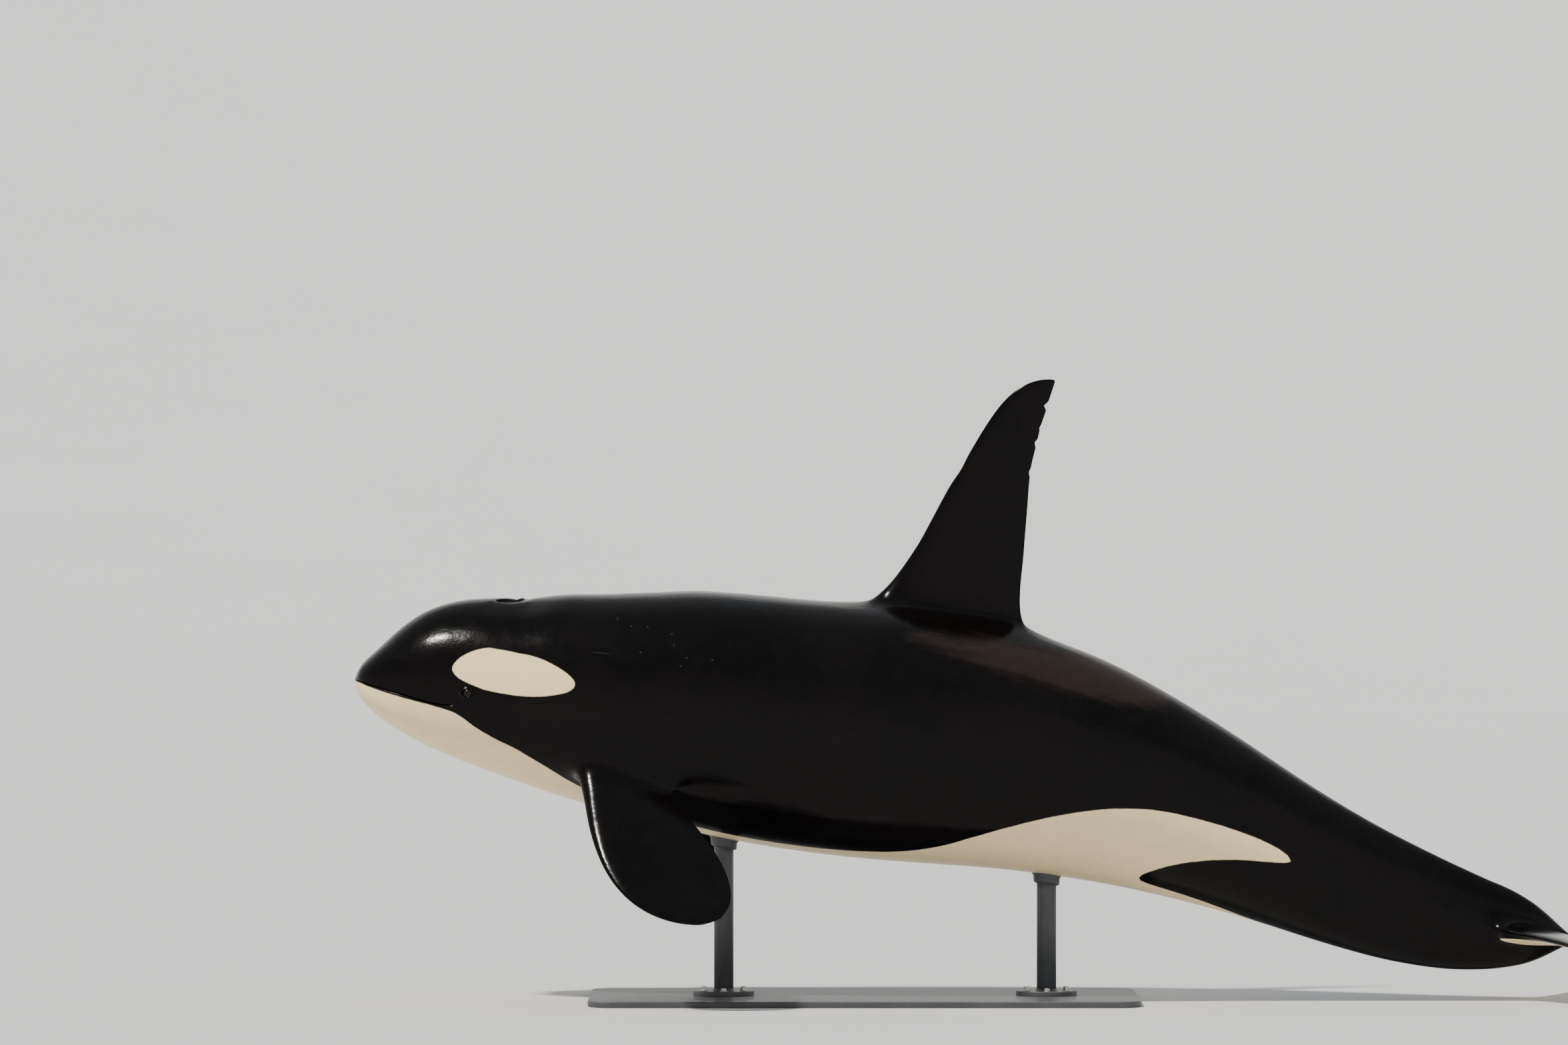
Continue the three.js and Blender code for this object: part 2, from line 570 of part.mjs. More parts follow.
buildHead();
for (const { name, from, to } of lengths) add(name, bodyLoft(from, to), "skinBlack");
buildDorsalFin();
buildFlippers();
buildFlukes();
buildStand();

// The origin goes under the middle of the model.
const middle = new THREE.Box3().setFromObject(model, true).getCenter(new THREE.Vector3());
model.position.x = -middle.x;

export default model;
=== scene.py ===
import math

import bmesh
import bpy
import numpy as np
from mathutils import Matrix, Vector


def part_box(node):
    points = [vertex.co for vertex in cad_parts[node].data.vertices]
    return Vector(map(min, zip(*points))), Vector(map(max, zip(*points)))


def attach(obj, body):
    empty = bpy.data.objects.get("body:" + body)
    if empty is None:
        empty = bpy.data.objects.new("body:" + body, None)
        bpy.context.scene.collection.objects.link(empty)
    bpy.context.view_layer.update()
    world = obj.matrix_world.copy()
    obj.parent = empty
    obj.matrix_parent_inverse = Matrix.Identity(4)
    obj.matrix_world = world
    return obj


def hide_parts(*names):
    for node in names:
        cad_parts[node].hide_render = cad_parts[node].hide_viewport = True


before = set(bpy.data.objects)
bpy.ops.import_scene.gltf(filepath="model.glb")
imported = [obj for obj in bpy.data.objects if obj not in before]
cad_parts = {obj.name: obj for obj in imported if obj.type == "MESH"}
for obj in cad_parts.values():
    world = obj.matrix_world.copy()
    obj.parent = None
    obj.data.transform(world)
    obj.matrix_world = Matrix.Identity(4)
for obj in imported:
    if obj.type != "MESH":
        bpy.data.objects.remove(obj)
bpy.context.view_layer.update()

bl_info = {
    "name": "Orca Model",
    "version": (1, 0, 0),
    "blender": (4, 5, 0),
    "location": "View3D > Sidebar > Orca",
    "description": "Dresses a life-size orca on its display stand in skin, eyes and painted steel",
    "category": "Object",
}

# Lengths are in metres. Places along the body are fractions of its length along the spine.
LENGTH = 6.3
SNOUT_HEIGHT = 1.58
POST_AT = 0.29  # over the front post of the stand
STEPS = 1000  # that the spine is drawn in

# The straight body, all as fractions of its length: the place along it, how far the back and the belly lie
# from the axis, the half width and the height of the widest point. Then how full its two halves are.
PROFILE = np.array([
    (0.0002, 0.0024, 0.0021, 0.0049, 0, 2, 2),
    (0.0006, 0.0045, 0.0038, 0.0085, 0, 2, 2),
    (0.003, 0.0108, 0.0085, 0.0172, 0, 2.2, 2.1),
    (0.007, 0.0168, 0.0139, 0.0232, 0, 2.2, 2.2),
    (0.012, 0.0225, 0.0189, 0.0281, -0.0005, 2.2, 2.3),
    (0.018, 0.0294, 0.0238, 0.0323, -0.001, 2.15, 2.3),
    (0.026, 0.0388, 0.029, 0.0371, -0.0015, 2.1, 2.3),
    (0.036, 0.049, 0.0341, 0.0423, -0.002, 2.1, 2.3),
    (0.048, 0.0586, 0.0393, 0.0474, -0.002, 2.1, 2.3),
    (0.062, 0.0661, 0.0447, 0.0521, -0.002, 2.1, 2.25),
    (0.08, 0.072, 0.0505, 0.0573, -0.002, 2.1, 2.2),
    (0.1, 0.0757, 0.056, 0.0625, -0.001, 2.1, 2.15),
    (0.115, 0.077, 0.0599, 0.066, 0, 2.1, 2.15),
    (0.13, 0.0787, 0.0635, 0.0695, 0, 2.1, 2.1),
    (0.15, 0.0835, 0.0683, 0.0735, 0, 2.1, 2.1),
    (0.185, 0.088, 0.0755, 0.0785, 0, 2.1, 2.1),
    (0.22, 0.0929, 0.0815, 0.083, 0.001, 2.1, 2.1),
    (0.26, 0.0985, 0.087, 0.0865, 0.002, 2.1, 2.1),
    (0.3, 0.1003, 0.0915, 0.089, 0.002, 2.1, 2.1),
    (0.35, 0.1012, 0.0945, 0.09, 0.002, 2.05, 2.1),
    (0.4, 0.1035, 0.095, 0.089, 0.002, 2, 2.1),
    (0.45, 0.1035, 0.093, 0.086, 0.002, 1.95, 2.05),
    (0.5, 0.101, 0.089, 0.081, 0.001, 1.9, 2),
    (0.56, 0.0935, 0.082, 0.073, 0, 1.85, 1.95),
    (0.62, 0.083, 0.0725, 0.0625, 0, 1.8, 1.85),
    (0.68, 0.0715, 0.063, 0.0515, 0, 1.75, 1.75),
    (0.74, 0.06, 0.055, 0.0405, 0, 1.7, 1.65),
    (0.8, 0.051, 0.05, 0.031, 0, 1.65, 1.6),
    (0.85, 0.0445, 0.0455, 0.024, 0, 1.65, 1.6),
    (0.9, 0.0365, 0.0375, 0.018, 0, 1.7, 1.7),
    (0.93, 0.03, 0.0295, 0.015, 0, 1.8, 1.8),
    (0.95, 0.0215, 0.0215, 0.0125, 0, 1.9, 1.9),
    (0.963, 0.0132, 0.0132, 0.0088, 0, 2, 2),
    (0.974, 0.0055, 0.0055, 0.0046, 0, 2, 2),
    (0.9816, 0.0013, 0.0013, 0.0036, 0, 2, 2),
])
# How far the nose side points up along the body, in degrees
POSTURE = np.array([
    (0, 6.3), (0.3, 6.3), (0.36, 6.5), (0.42, 7.1), (0.46, 8.2), (0.52, 12.5), (0.56, 16.5), (0.62, 20.5),
    (0.7, 23), (0.78, 22), (0.86, 17), (0.93, 10), (1, 7),
])
# The low ridge that leads up to the dorsal fin and runs out behind it, in metres above the smooth back
RIDGE = np.array([
    (0.3, 0), (0.345, 0), (0.36, 0.001), (0.374, 0.0065), (0.385, 0.018), (0.3905, 0.0255), (0.4, 0.03),
    (0.495, 0.04), (0.5065, 0.0375), (0.5115, 0.02), (0.517, 0.009), (0.523, 0.003), (0.53, 0), (0.56, 0),
])
RIDGE_HALF = 0.06  # about half its width

# The line of the mouth, as fractions of the length
MOUTH = np.array([(0, 0.0008), (0.02, -0.0024), (0.045, -0.0066), (0.068, -0.0098), (0.081, -0.0096)])
MOUTH_CORNER = 0.081
MOUTH_FADE = (0.85, 1.03)  # shares of its length between which the line runs out
LIP = 0.0026  # from the line to the outside of a lip, as a fraction of the length
LIP_EDGE = 0.0007
LIP_DEPTH = 0.012  # of the line, in metres
SNOUT_ROUND = 0.006  # the lips come together over this fraction at the front
SNOUT_FRONT = 0.012  # and the line is cut aft instead of inward over this one

COLUMNS = 48
HALF = COLUMNS // 2
LIP_COLUMN = 13  # of the line of the mouth, counted from the back; its lips take two columns on each side
EVEN_FROM = MOUTH_CORNER + 0.09  # behind here the columns are even all round

# Where the rings of the skin stand along the body
STATIONS = (
    0.0002, 0.0006, 0.0025, 0.0055, 0.0095, 0.0145, 0.0205, 0.027, 0.034, 0.041, 0.048, 0.055, 0.062,
    0.069, 0.076, 0.081, 0.0825, 0.0865, 0.0905, 0.0945, 0.0985, 0.1028, 0.1072, 0.1116, 0.116, 0.1203,
    0.1246, 0.129, 0.1365, 0.146, 0.156, 0.1665, 0.1765, 0.1836, 0.1907, 0.1978, 0.2049, 0.212, 0.2191,
    0.2262, 0.2333, 0.2404, 0.2475, 0.26, 0.276, 0.294, 0.313, 0.333, 0.352, 0.368, 0.3805, 0.3905, 0.402,
    0.4135, 0.425, 0.4365, 0.448, 0.4595, 0.471, 0.4825, 0.494, 0.5065, 0.518, 0.534, 0.555, 0.58, 0.608,
    0.638, 0.668, 0.698, 0.728, 0.757, 0.785, 0.812, 0.838, 0.862, 0.882, 0.895, 0.905, 0.9155, 0.926,
    0.9365, 0.947, 0.957, 0.966, 0.9745, 0.9816,
)
# The patches that parts of the skin grow out of: first and last ring, first and last column
PATCHES = {
    "dorsal": ((0.3905, 0.5065), (1, -1)),
    "flipper": ((0.1765, 0.26), (18, 16)),
    "fluke": ((0.905, 0.9816), (15, 9)),
    "eye": ((0.0825, 0.0985), (9, 11)),
    "blowhole": ((0.0945, 0.1365), (3, -3)),
}

# Fins: rows of how far out a section stands, its leading and trailing edges along the chord, and its
# thickness. The dorsal fin is measured from where its front leaves the back.
FIN_FRONT = 0.395
FIN_RISE = 0.031  # above the smooth back
DORSAL = np.array([
    (-0.131, -0.03, 0.757, 0.138), (-0.095, -0.025, 0.736, 0.128), (-0.05, -0.018, 0.729, 0.119),
    (-0.008, -0.008, 0.727, 0.108), (0.003, -0.002, 0.727, 0.105), (0.036, 0.046, 0.727, 0.1),
    (0.079, 0.089, 0.73, 0.095), (0.121, 0.122, 0.733, 0.091), (0.207, 0.184, 0.742, 0.084),
    (0.292, 0.239, 0.748, 0.078), (0.377, 0.284, 0.755, 0.071), (0.462, 0.33, 0.762, 0.065),
    (0.548, 0.377, 0.768, 0.059), (0.591, 0.404, 0.772, 0.055), (0.633, 0.434, 0.777, 0.052),
    (0.676, 0.455, 0.786, 0.049), (0.761, 0.503, 0.807, 0.043), (0.846, 0.555, 0.827, 0.036),
    (0.932, 0.615, 0.856, 0.029), (0.974, 0.651, 0.867, 0.025), (1.017, 0.699, 0.882, 0.021),
    (1.047, 0.747, 0.891, 0.017), (1.062, 0.782, 0.895, 0.013), (1.073, 0.826, 0.892, 0.009),
])
# Old nicks in its trailing edge: how high, how deep and how tall, and how far they reach into the fin
NICKS = ((0.946, 0.017, 0.013), (0.762, 0.013, 0.011), (0.618, 0.008, 0.012), (0.838, 0.005, 0.01))
NICK_REACH = 0.03
FLIPPER = np.array([
    (-0.17, -0.172, 0.178, 0.128), (-0.04, -0.172, 0.178, 0.12), (0.06, -0.185, 0.182, 0.108),
    (0.18, -0.212, 0.198, 0.096), (0.32, -0.243, 0.225, 0.082), (0.47, -0.262, 0.254, 0.069),
    (0.62, -0.262, 0.277, 0.057), (0.76, -0.232, 0.283, 0.045), (0.87, -0.178, 0.268, 0.034),
    (0.955, -0.102, 0.232, 0.025), (1.01, -0.022, 0.184, 0.017), (1.036, 0.04, 0.14, 0.01),
])
# Where a flipper leaves the body, and how many degrees its span points aft and down
SHOULDER = {"at": 0.208, "side": 0.06, "height": -0.045, "sweep": 38, "droop": 42}
FLUKE = np.array([
    (0, -0.56, -0.012, 0.112), (0.022, -0.548, 0.008, 0.112), (0.06, -0.505, 0.044, 0.107),
    (0.105, -0.448, 0.07, 0.093), (0.165, -0.39, 0.086, 0.078), (0.26, -0.326, 0.089, 0.062),
    (0.39, -0.258, 0.073, 0.048), (0.53, -0.19, 0.055, 0.037), (0.66, -0.12, 0.048, 0.028),
    (0.77, -0.05, 0.054, 0.02), (0.84, 0.006, 0.068, 0.013), (0.882, 0.05, 0.086, 0.008),
])
FLUKE_LIFT = np.array([
    (0, 0), (0.105, 0.001), (0.26, 0.004), (0.39, 0.006), (0.53, 0.004), (0.66, -0.002), (0.77, -0.011),
    (0.84, -0.019), (0.882, -0.025),
])
NOTCH = 0.9835  # between the flukes
FOIL_EDGE = 0.005  # thickness of a trailing edge
# Where the sections of each fin stand between its root and its tip, how much they widen at the root, and how
# far outside the first one the rim of the patch is laid
FINS = {
    "dorsal": {
        "shape": DORSAL, "flare": 0.32, "margin": 0,
        "shares": (0, 0.03, 0.07, 0.125, 0.19, 0.26, 0.335, 0.41, 0.475, 0.535, 0.59, 0.64, 0.69, 0.735,
                   0.78, 0.825, 0.865, 0.905, 0.94, 0.967, 0.988, 1),
    },
    "flipper": {
        "shape": FLIPPER, "flare": 0.12, "margin": 0.035,
        "shares": (0, 0.05, 0.12, 0.21, 0.32, 0.44, 0.56, 0.68, 0.79, 0.88, 0.945, 0.98, 1),
    },
    "fluke": {
        "shape": FLUKE, "flare": 0.1, "margin": 0.02,
        "shares": (0, 0.05, 0.13, 0.23, 0.35, 0.48, 0.61, 0.73, 0.84, 0.92, 0.97, 1),
    },
}
FLARE_FADE = 0.06  # how far out the widening dies away
ROOT_CLEARANCE = 0.026  # of a fin's first section outside the smooth body
ROOT_FADE = 8  # the sections are free to blend over an eighth of the way out
RIM_INSET = 0.12  # the rim spreads from the middle of the chord, without this share at its ends
RIM_PULL = 0.6  # how much of the way to its new place the rim goes
RIM_SLACK = math.radians(4)

# The eye, its place as fractions of the length, and how its front bulges: a share of the radius, over an
# angle in radians. Then the rings of its lids: half as long, half as high and how far out of the skin.
EYE = {"at": 0.0905, "height": 0.0012, "radius": 0.031, "sunk": 0.023, "bulge": 0.05, "bulge_turn": 0.45}
LIDS = (
    (0.046, 0.036, 0), (0.0385, 0.0285, 0.0035), (0.033, 0.022, 0.0075), (0.0285, 0.0165, 0.006),
    (0.0275, 0.0155, 0.0005), (0.026, 0.014, -0.012),
)
LID_POWER = 1.15

# The blowhole, a slit that bends round a plug. It sweeps so many degrees to each side, and lies in an oval
# bed, with half its length and width given, and how far behind the slit its middle is. A fold's values are
# the share of the way from the slit to the bed's rim, and the heights of the skin and of the plug there.
BLOWHOLE = {"at": 0.1235, "long": 0.132, "wide": 0.078, "sweep": 90, "slit": 0.034}
BED = {"long": 0.133, "wide": 0.152, "behind": -0.05, "sweep": 50}
BLOWHOLE_FOLDS = (
    (0.66, -0.001, 0), (0.38, -0.004, 0.001), (0.19, -0.004, 0.001), (0.07, 0.0015, -0.002),
    (0, 0.001, -0.005), (-0.03, -0.01, -0.014), (-0.045, -0.055, -0.055),
)
PLUG_POINTS = 3  # of the slit's fore edge, on each side
HORNS = (0.02, 0.08)  # how far to the side they start to sink, and are sunk
HORN_DEPTH = 0.013
BED_FREEDOM = 0.5  # of the bed's rim and outer fold to blend into the head

# What the coarse skin knows of each vertex: its fin, its place on the fluke, and if it is free to blend
SKIN_LAYERS = ("dorsal", "flipper", "fluke", "chord", "out", "under", "root")
FIT_SHARE = 0.95  # of its distance from the coarse skin that the smooth one goes back in a fit
ROOT_SPREAD = (0.7, 0.6)  # of the freedom to blend, to the next two rows of vertices
ROOT_SMOOTHING = 70  # turns


def smoothstep(x, low, high):
    """Rises smoothly from 0 to 1 between two values."""
    t = np.clip((np.asarray(x, float) - low) / (high - low), 0, 1)
    return t * t * (3 - 2 * t)


def curve(rows, column=1):
    """A smooth curve through one column of the rows, read at any value of the first."""
    x, y = rows[:, 0], rows[:, column]
    gap = np.diff(x)
    rise = np.diff(y) / gap
    inner = (rise[1:] * gap[:-1] + rise[:-1] * gap[1:]) / (x[2:] - x[:-2])
    slope = np.concatenate((rise[:1], inner, rise[-1:]))

    def read(place):
        place = np.asarray(place, float)
        i = np.clip(np.searchsorted(x, place) - 1, 0, len(x) - 2)
        t = np.clip((place - x[i]) / gap[i], 0, 1)
        s = 1 - t
        ends = y[i] * s * s * (1 + 2 * t) + y[i + 1] * t * t * (3 - 2 * t)
        return ends + gap[i] * s * t * (slope[i] * s - slope[i + 1] * t)

    return read


back, belly, flank, belt, crown, keel = (curve(PROFILE, k) for k in range(1, 7))
tilt = curve(POSTURE)
ridge = curve(RIDGE)
mouth_line = curve(MOUTH)
fluke_lift = curve(FLUKE_LIFT)


def upright(name):
    """The middle, radius, bottom and top of a round upright CAD node."""
    low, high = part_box(name)
    return (low.x + high.x) / 2, (high.x - low.x) / 2, low.z, high.z


def draw_spine():
    """The spine as points in short steps from the snout, set over the front post of the stand."""
    angles = np.radians(tilt((np.arange(STEPS) + 0.5) / STEPS))
    steps = np.stack((np.cos(angles), 0 * angles, -np.sin(angles)), axis=1) * LENGTH / STEPS
    points = np.concatenate((np.zeros((1, 3)), np.cumsum(steps, axis=0)))
    return points + (upright("stand_rod_front")[0] - points[round(POST_AT * STEPS), 0], 0, SNOUT_HEIGHT)


spine = draw_spine()


def bend(at, side, height):
    """Points of the straight body, in metres off the axis, placed on the bent one."""
    at, side, height = (np.asarray(v, float) for v in np.broadcast_arrays(at, side, height))
    place = np.clip(at, 0, 1) * STEPS
    i = np.minimum(place.astype(int), STEPS - 1)
    angle = np.radians(tilt(at))
    on = spine[i] + (spine[i + 1] - spine[i]) * (place - i)[..., None]
    return on + np.stack((height * np.sin(angle), side, height * np.cos(angle)), axis=-1)


def unbend(points, tries=8):
    """Where points of the bent body lie on the straight one: along it, to the side and above the axis."""
    at = np.interp(points[:, 0], spine[:, 0], np.linspace(0, 1, STEPS + 1))
    for _ in range(tries):
        off = points - bend(at, 0, 0)
        angle = np.radians(tilt(at))
        at = np.clip(at + (off[:, 0] * np.cos(angle) - off[:, 2] * np.sin(angle)) / LENGTH, 0, 1)
    return at, points[:, 1], off[:, 0] * np.sin(angle) + off[:, 2] * np.cos(angle)


def turned(at, direction):
    """A direction of the straight body, turned as the body is at one place."""
    angle = math.radians(float(tilt(at)))
    cos, sin = math.cos(angle), math.sin(angle)
    x, y, z = direction
    return np.array((x * cos + z * sin, y, z * cos - x * sin))


def outline(at, angle):
    """Half width and height of the skin of the straight body, at an angle from the top."""
    c = np.cos(angle)
    power = 2 / np.where(c >= 0, crown(at), keel(at))
    reach = np.where(c >= 0, back(at) - belt(at), belly(at) + belt(at))
    side = flank(at) * np.abs(np.sin(angle)) ** power
    return side * LENGTH, (belt(at) + np.sign(c) * reach * np.abs(c) ** power) * LENGTH


def angle_at(at, height):
    """The angle from the top at which the skin has a height, given as a fraction of the length."""
    if height >= belt(at):
        share = min(1, (height - belt(at)) / (back(at) - belt(at)))
        return math.acos(share ** (crown(at) / 2))
    share = min(1, (belt(at) - height) / (belly(at) + belt(at)))
    return math.pi - math.acos(share ** (keel(at) / 2))


def angle_of(at, side, height):
    """The angle from the top of points near the skin."""
    up = height / LENGTH - belt(at)
    power = np.where(up >= 0, crown(at), keel(at)) / 2
    reach = np.where(up >= 0, back(at) - belt(at), belly(at) + belt(at))
    across = (np.abs(side) / LENGTH / flank(at)) ** power
    return np.arctan2(across, np.sign(up) * (np.abs(up) / reach) ** power)


def column_angles(at):
    """Angles of the columns on one side. In the head five of them follow the line of the mouth."""
    line = float(mouth_line(min(at, MOUTH_CORNER)))
    spread = min(1, at / SNOUT_ROUND)
    lips = [angle_at(at, line + reach * spread) for reach in (LIP, LIP_EDGE, 0, -LIP_EDGE, -LIP)]
    upper = np.linspace(0, lips[0], LIP_COLUMN - 1)[:-1]
    lower = np.linspace(lips[-1], math.pi, HALF - LIP_COLUMN - 1)[1:]
    led = np.concatenate((upper, lips, lower))
    even = np.linspace(0, math.pi, HALF + 1)
    return led + (even - led) * smoothstep(at, MOUTH_CORNER, EVEN_FROM)


def ring(at):
    """A ring of the bent body, from the back down the left side and up the right one."""
    side, height = outline(at, column_angles(at))
    height += float(ridge(at)) * np.exp(-((side / RIDGE_HALF) ** 2)) * (height > 0)
    fade = smoothstep(at, *(MOUTH_CORNER * share for share in MOUTH_FADE))
    depth = LIP_DEPTH * (1 - float(fade))
    inward = float(smoothstep(at, 0, SNOUT_FRONT))
    side[LIP_COLUMN] -= depth * inward
    aft = np.zeros(HALF + 1)
    aft[LIP_COLUMN] = depth * (1 - inward) / LENGTH
    left = bend(at + aft, -side, height)
    right = left[-2:0:-1] * (1, -1, 1)
    return np.concatenate((left, right))


def skin_at(at, height, step=0.004):
    """A point on the left side of the skin, and the direction that it faces."""
    def on(place, h):
        return bend(place, -float(outline(place, angle_at(place, h))[0]), h * LENGTH)

    aft = on(at + step, height) - on(at - step, height)
    up = on(at, height + step) - on(at, height - step)
    facing = np.cross(aft, up)
    return on(at, height), facing / np.linalg.norm(facing)


def crown_at(at, side):
    """A point on the top of the bent body, some way off the middle."""
    share = np.clip(np.abs(side) / LENGTH / flank(at), 0, 1)
    height = belt(at) + (back(at) - belt(at)) * (1 - share ** crown(at)) ** (1 / crown(at))
    return bend(at, side, height * LENGTH)


def foil_turn(count):
    """Angles round a section of a fin, from its leading edge."""
    return np.arange(count) * 2 * math.pi / count


def foil(shape, out, flare=1):
    """A section across a fin: how far each of its points lies along the chord and to the side. out gives
    how far out on the fin each point stands."""
    lead, trail, thick = (curve(shape, k)(out) for k in (1, 2, 3))
    turn = foil_turn(len(out))
    c = (1 - np.cos(turn)) / 2
    thick = thick * flare
    # The thickness of a usual wing section, as a share of its thickest place
    full = 10 * (0.2969 * np.sqrt(c) - 0.126 * c - 0.3516 * c**2 + 0.2843 * c**3 - 0.1036 * c**4)
    edge = np.minimum(FOIL_EDGE, thick / 2) * np.sin(turn) ** 2
    half = ((thick - edge) * full + edge) / 2
    return lead + (trail - lead) * c, -np.sign(np.round(np.sin(turn), 9)) * half


def sides(mirror):
    """What a point of the left side is multiplied by for the side that is made."""
    return (1, -1 if mirror else 1, 1)


def loop_edges(bm, loop):
    return [bm.edges.get((loop[k - 1], loop[k])) for k in range(len(loop))]


def extrude_loop(bm, loop, places, marks=None):
    """Extrudes a closed loop of vertices to new places, in the loop's own order."""
    made = bmesh.ops.extrude_edge_only(bm, edges=loop_edges(bm, loop))["geom"]
    fresh = {v for v in made if isinstance(v, bmesh.types.BMVert)}
    new_loop = []
    for k, (v, place) in enumerate(zip(loop, places)):
        new = next(e.other_vert(v) for e in v.link_edges if e.other_vert(v) in fresh)
        new.co = place
        for name, values in (marks or {}).items():
            new[bm.verts.layers.float[name]] = values if np.isscalar(values) else values[k]
        new_loop.append(new)
    return new_loop


def opening(bm, skin, name, mirror=False):
    """Takes a patch out of the skin and gives its rim, from the middle of the front edge round."""
    rows, columns = PATCHES[name]
    front, rear = (STATIONS.index(at) for at in rows)
    first, last = (COLUMNS - k for k in columns) if mirror else columns
    step = 1 if last > first else -1
    middle = (first + last) // 2
    patch = {skin[i][j % COLUMNS] for i in range(front, rear + 1) for j in range(first, last + step, step)}
    faces = {f for v in patch for f in v.link_faces if patch.issuperset(f.verts)}
    bmesh.ops.delete(bm, geom=list(faces), context="FACES")
    places = [(front, j) for j in range(middle, first, -step)]
    places += [(i, first) for i in range(front, rear)]
    places += [(rear, j) for j in range(first, last, step)]
    places += [(i, last) for i in range(rear, front, -1)]
    places += [(front, j) for j in range(last, middle, -step)]
    return [skin[i][j % COLUMNS] for i, j in places]


def close(bm, loop):
    bmesh.ops.edgeloop_fill(bm, edges=loop_edges(bm, loop))


def close_snout(bm, loop):
    """Fills the first ring so that the line of the mouth runs on across the front of the snout."""
    upper, line, lower = LIP_COLUMN - 1, LIP_COLUMN, LIP_COLUMN + 1
    top = [loop[j % COLUMNS] for j in range(-upper, upper + 1)]
    bottom = [loop[j] for j in range(lower, COLUMNS - lower + 1)]
    strips = [[loop[a], loop[b], loop[-b], loop[-a]] for a, b in ((upper, line), (line, lower))]
    for corners in (top, bottom, *strips):
        bmesh.ops.contextual_create(bm, geom=corners)


def clearance(points):
    """How far points lie outside the smooth body, in metres."""
    at, side, height = unbend(points)
    skin_side, skin_height = outline(at, angle_of(at, side, height))
    return np.hypot(side, height) - np.hypot(skin_side, skin_height)


def lay_rim(loop, shape, place, foot, margin, mirror):
    """Lays the rim of a patch on the skin, a margin outside the fin's first section and inside the patch."""
    along, side = foil(shape, foot)
    points = place(along, side, foot)
    lead, trail = curve(shape, 1)(foot), curve(shape, 2)(foot)
    ends = [lead * (1 - share) + trail * share for share in (RIM_INSET, 1 - RIM_INSET)]
    off = points - place(np.clip(along, *ends), 0 * side, foot)
    at, side, height = unbend(points + margin * off / np.linalg.norm(off, axis=1)[:, None])
    at = np.minimum(at, STATIONS[-1])
    patch = angle_of(*unbend(np.array([v.co for v in loop])))
    angle = np.clip(angle_of(at, side, height), patch.min() - RIM_SLACK, patch.max() + RIM_SLACK)
    side, height = outline(at, angle)
    for v, spot in zip(loop, bend(at, -side, height) * sides(mirror)):
        v.co = v.co.lerp(Vector(spot), RIM_PULL)


def grow_fin(bm, skin, name, place, mirror=False):
    """Grows a fin out of its patch of the skin, from sections that leave the body all round at once."""
    shape, shares, flare, margin = (FINS[name][k] for k in ("shape", "shares", "flare", "margin"))
    loop = opening(bm, skin, name, mirror)
    count, tip = len(loop), shape[-1, 0]
    tries = np.linspace(shape[0, 0], tip * 0.6, 80)
    reach = np.array([clearance(place(*foil(shape, np.full(count, out)), out)) for out in tries])
    foot = np.array([np.interp(ROOT_CLEARANCE, reach[:, k], tries) for k in range(count)])
    if margin:
        lay_rim(loop, shape, place, foot, margin, mirror)
    free = bm.verts.layers.float["root"]
    for v in loop:
        v[free] = 1
    turn = foil_turn(count)
    marks = {name: 1.0, "chord": (1 - np.cos(turn)) / 2, "under": np.sign(np.round(np.sin(turn), 6))}
    for share in shares:
        out = foot + (tip - foot) * share
        along, side = foil(shape, out, 1 + flare * math.exp(-share * (tip - foot.mean()) / FLARE_FADE))
        marks |= {"out": out, "root": max(0.0, 1 - ROOT_FADE * share)}
        loop = extrude_loop(bm, loop, place(along, side, out) * sides(mirror), marks)
    close(bm, loop)


def fin_origin():
    """Where the front of the dorsal fin leaves the back."""
    return bend(FIN_FRONT, 0, float(back(FIN_FRONT)) * LENGTH) + (0, 0, FIN_RISE)


def in_columns(*values):
    """Values of the points of a section, each as a column to multiply directions by."""
    return (v[:, None] for v in np.broadcast_arrays(*values))


def grow_dorsal_fin(bm, skin):
    origin = fin_origin()

    def place(along, side, high):
        return origin + np.stack(np.broadcast_arrays(along, side, high), axis=1)

    grow_fin(bm, skin, "dorsal", place)


def grow_flipper(bm, skin, mirror):
    at = SHOULDER["at"]
    sweep, droop = (math.radians(SHOULDER[k]) for k in ("sweep", "droop"))
    span = (math.cos(droop) * math.sin(sweep), -math.cos(droop) * math.cos(sweep), -math.sin(droop))
    span = turned(at, span)
    chord = turned(at, (1, 0, 0))
    chord = chord - span * chord.dot(span)
    chord /= np.linalg.norm(chord)
    normal = np.cross(span, chord)
    root = bend(at, -SHOULDER["side"] * LENGTH, SHOULDER["height"] * LENGTH)

    def place(along, side, out):
        along, side, out = in_columns(along, side, out)
        return root + out * span + along * chord + side * normal

    grow_fin(bm, skin, "flipper", place, mirror)


def grow_fluke(bm, skin, mirror):
    chord, up = turned(NOTCH, (1, 0, 0)), turned(NOTCH, (0, 0, 1))

    def place(along, side, out):
        along, side, out = in_columns(along, side, out)
        return bend(NOTCH, -out[:, 0], fluke_lift(out[:, 0])) + along * chord + side * up

    grow_fin(bm, skin, "fluke", place, mirror)


def form_eyelids(bm, skin, mirror):
    """Lids round the eye: a fold, a ridge and an edge, then the socket behind them."""
    loop = opening(bm, skin, "eye", mirror)
    turn = np.arange(len(loop)) * 2 * math.pi / len(loop)
    for long, high, lift in LIDS:
        places = []
        for angle in turn:
            s = math.sin(angle)
            at = EYE["at"] - long * math.cos(angle) / LENGTH
            height = EYE["height"] + high * math.copysign(abs(s) ** LID_POWER, s) / LENGTH
            point, facing = skin_at(at, height)
            places.append((point + facing * lift) * sides(mirror))
        loop = extrude_loop(bm, loop, places)
    close(bm, loop)


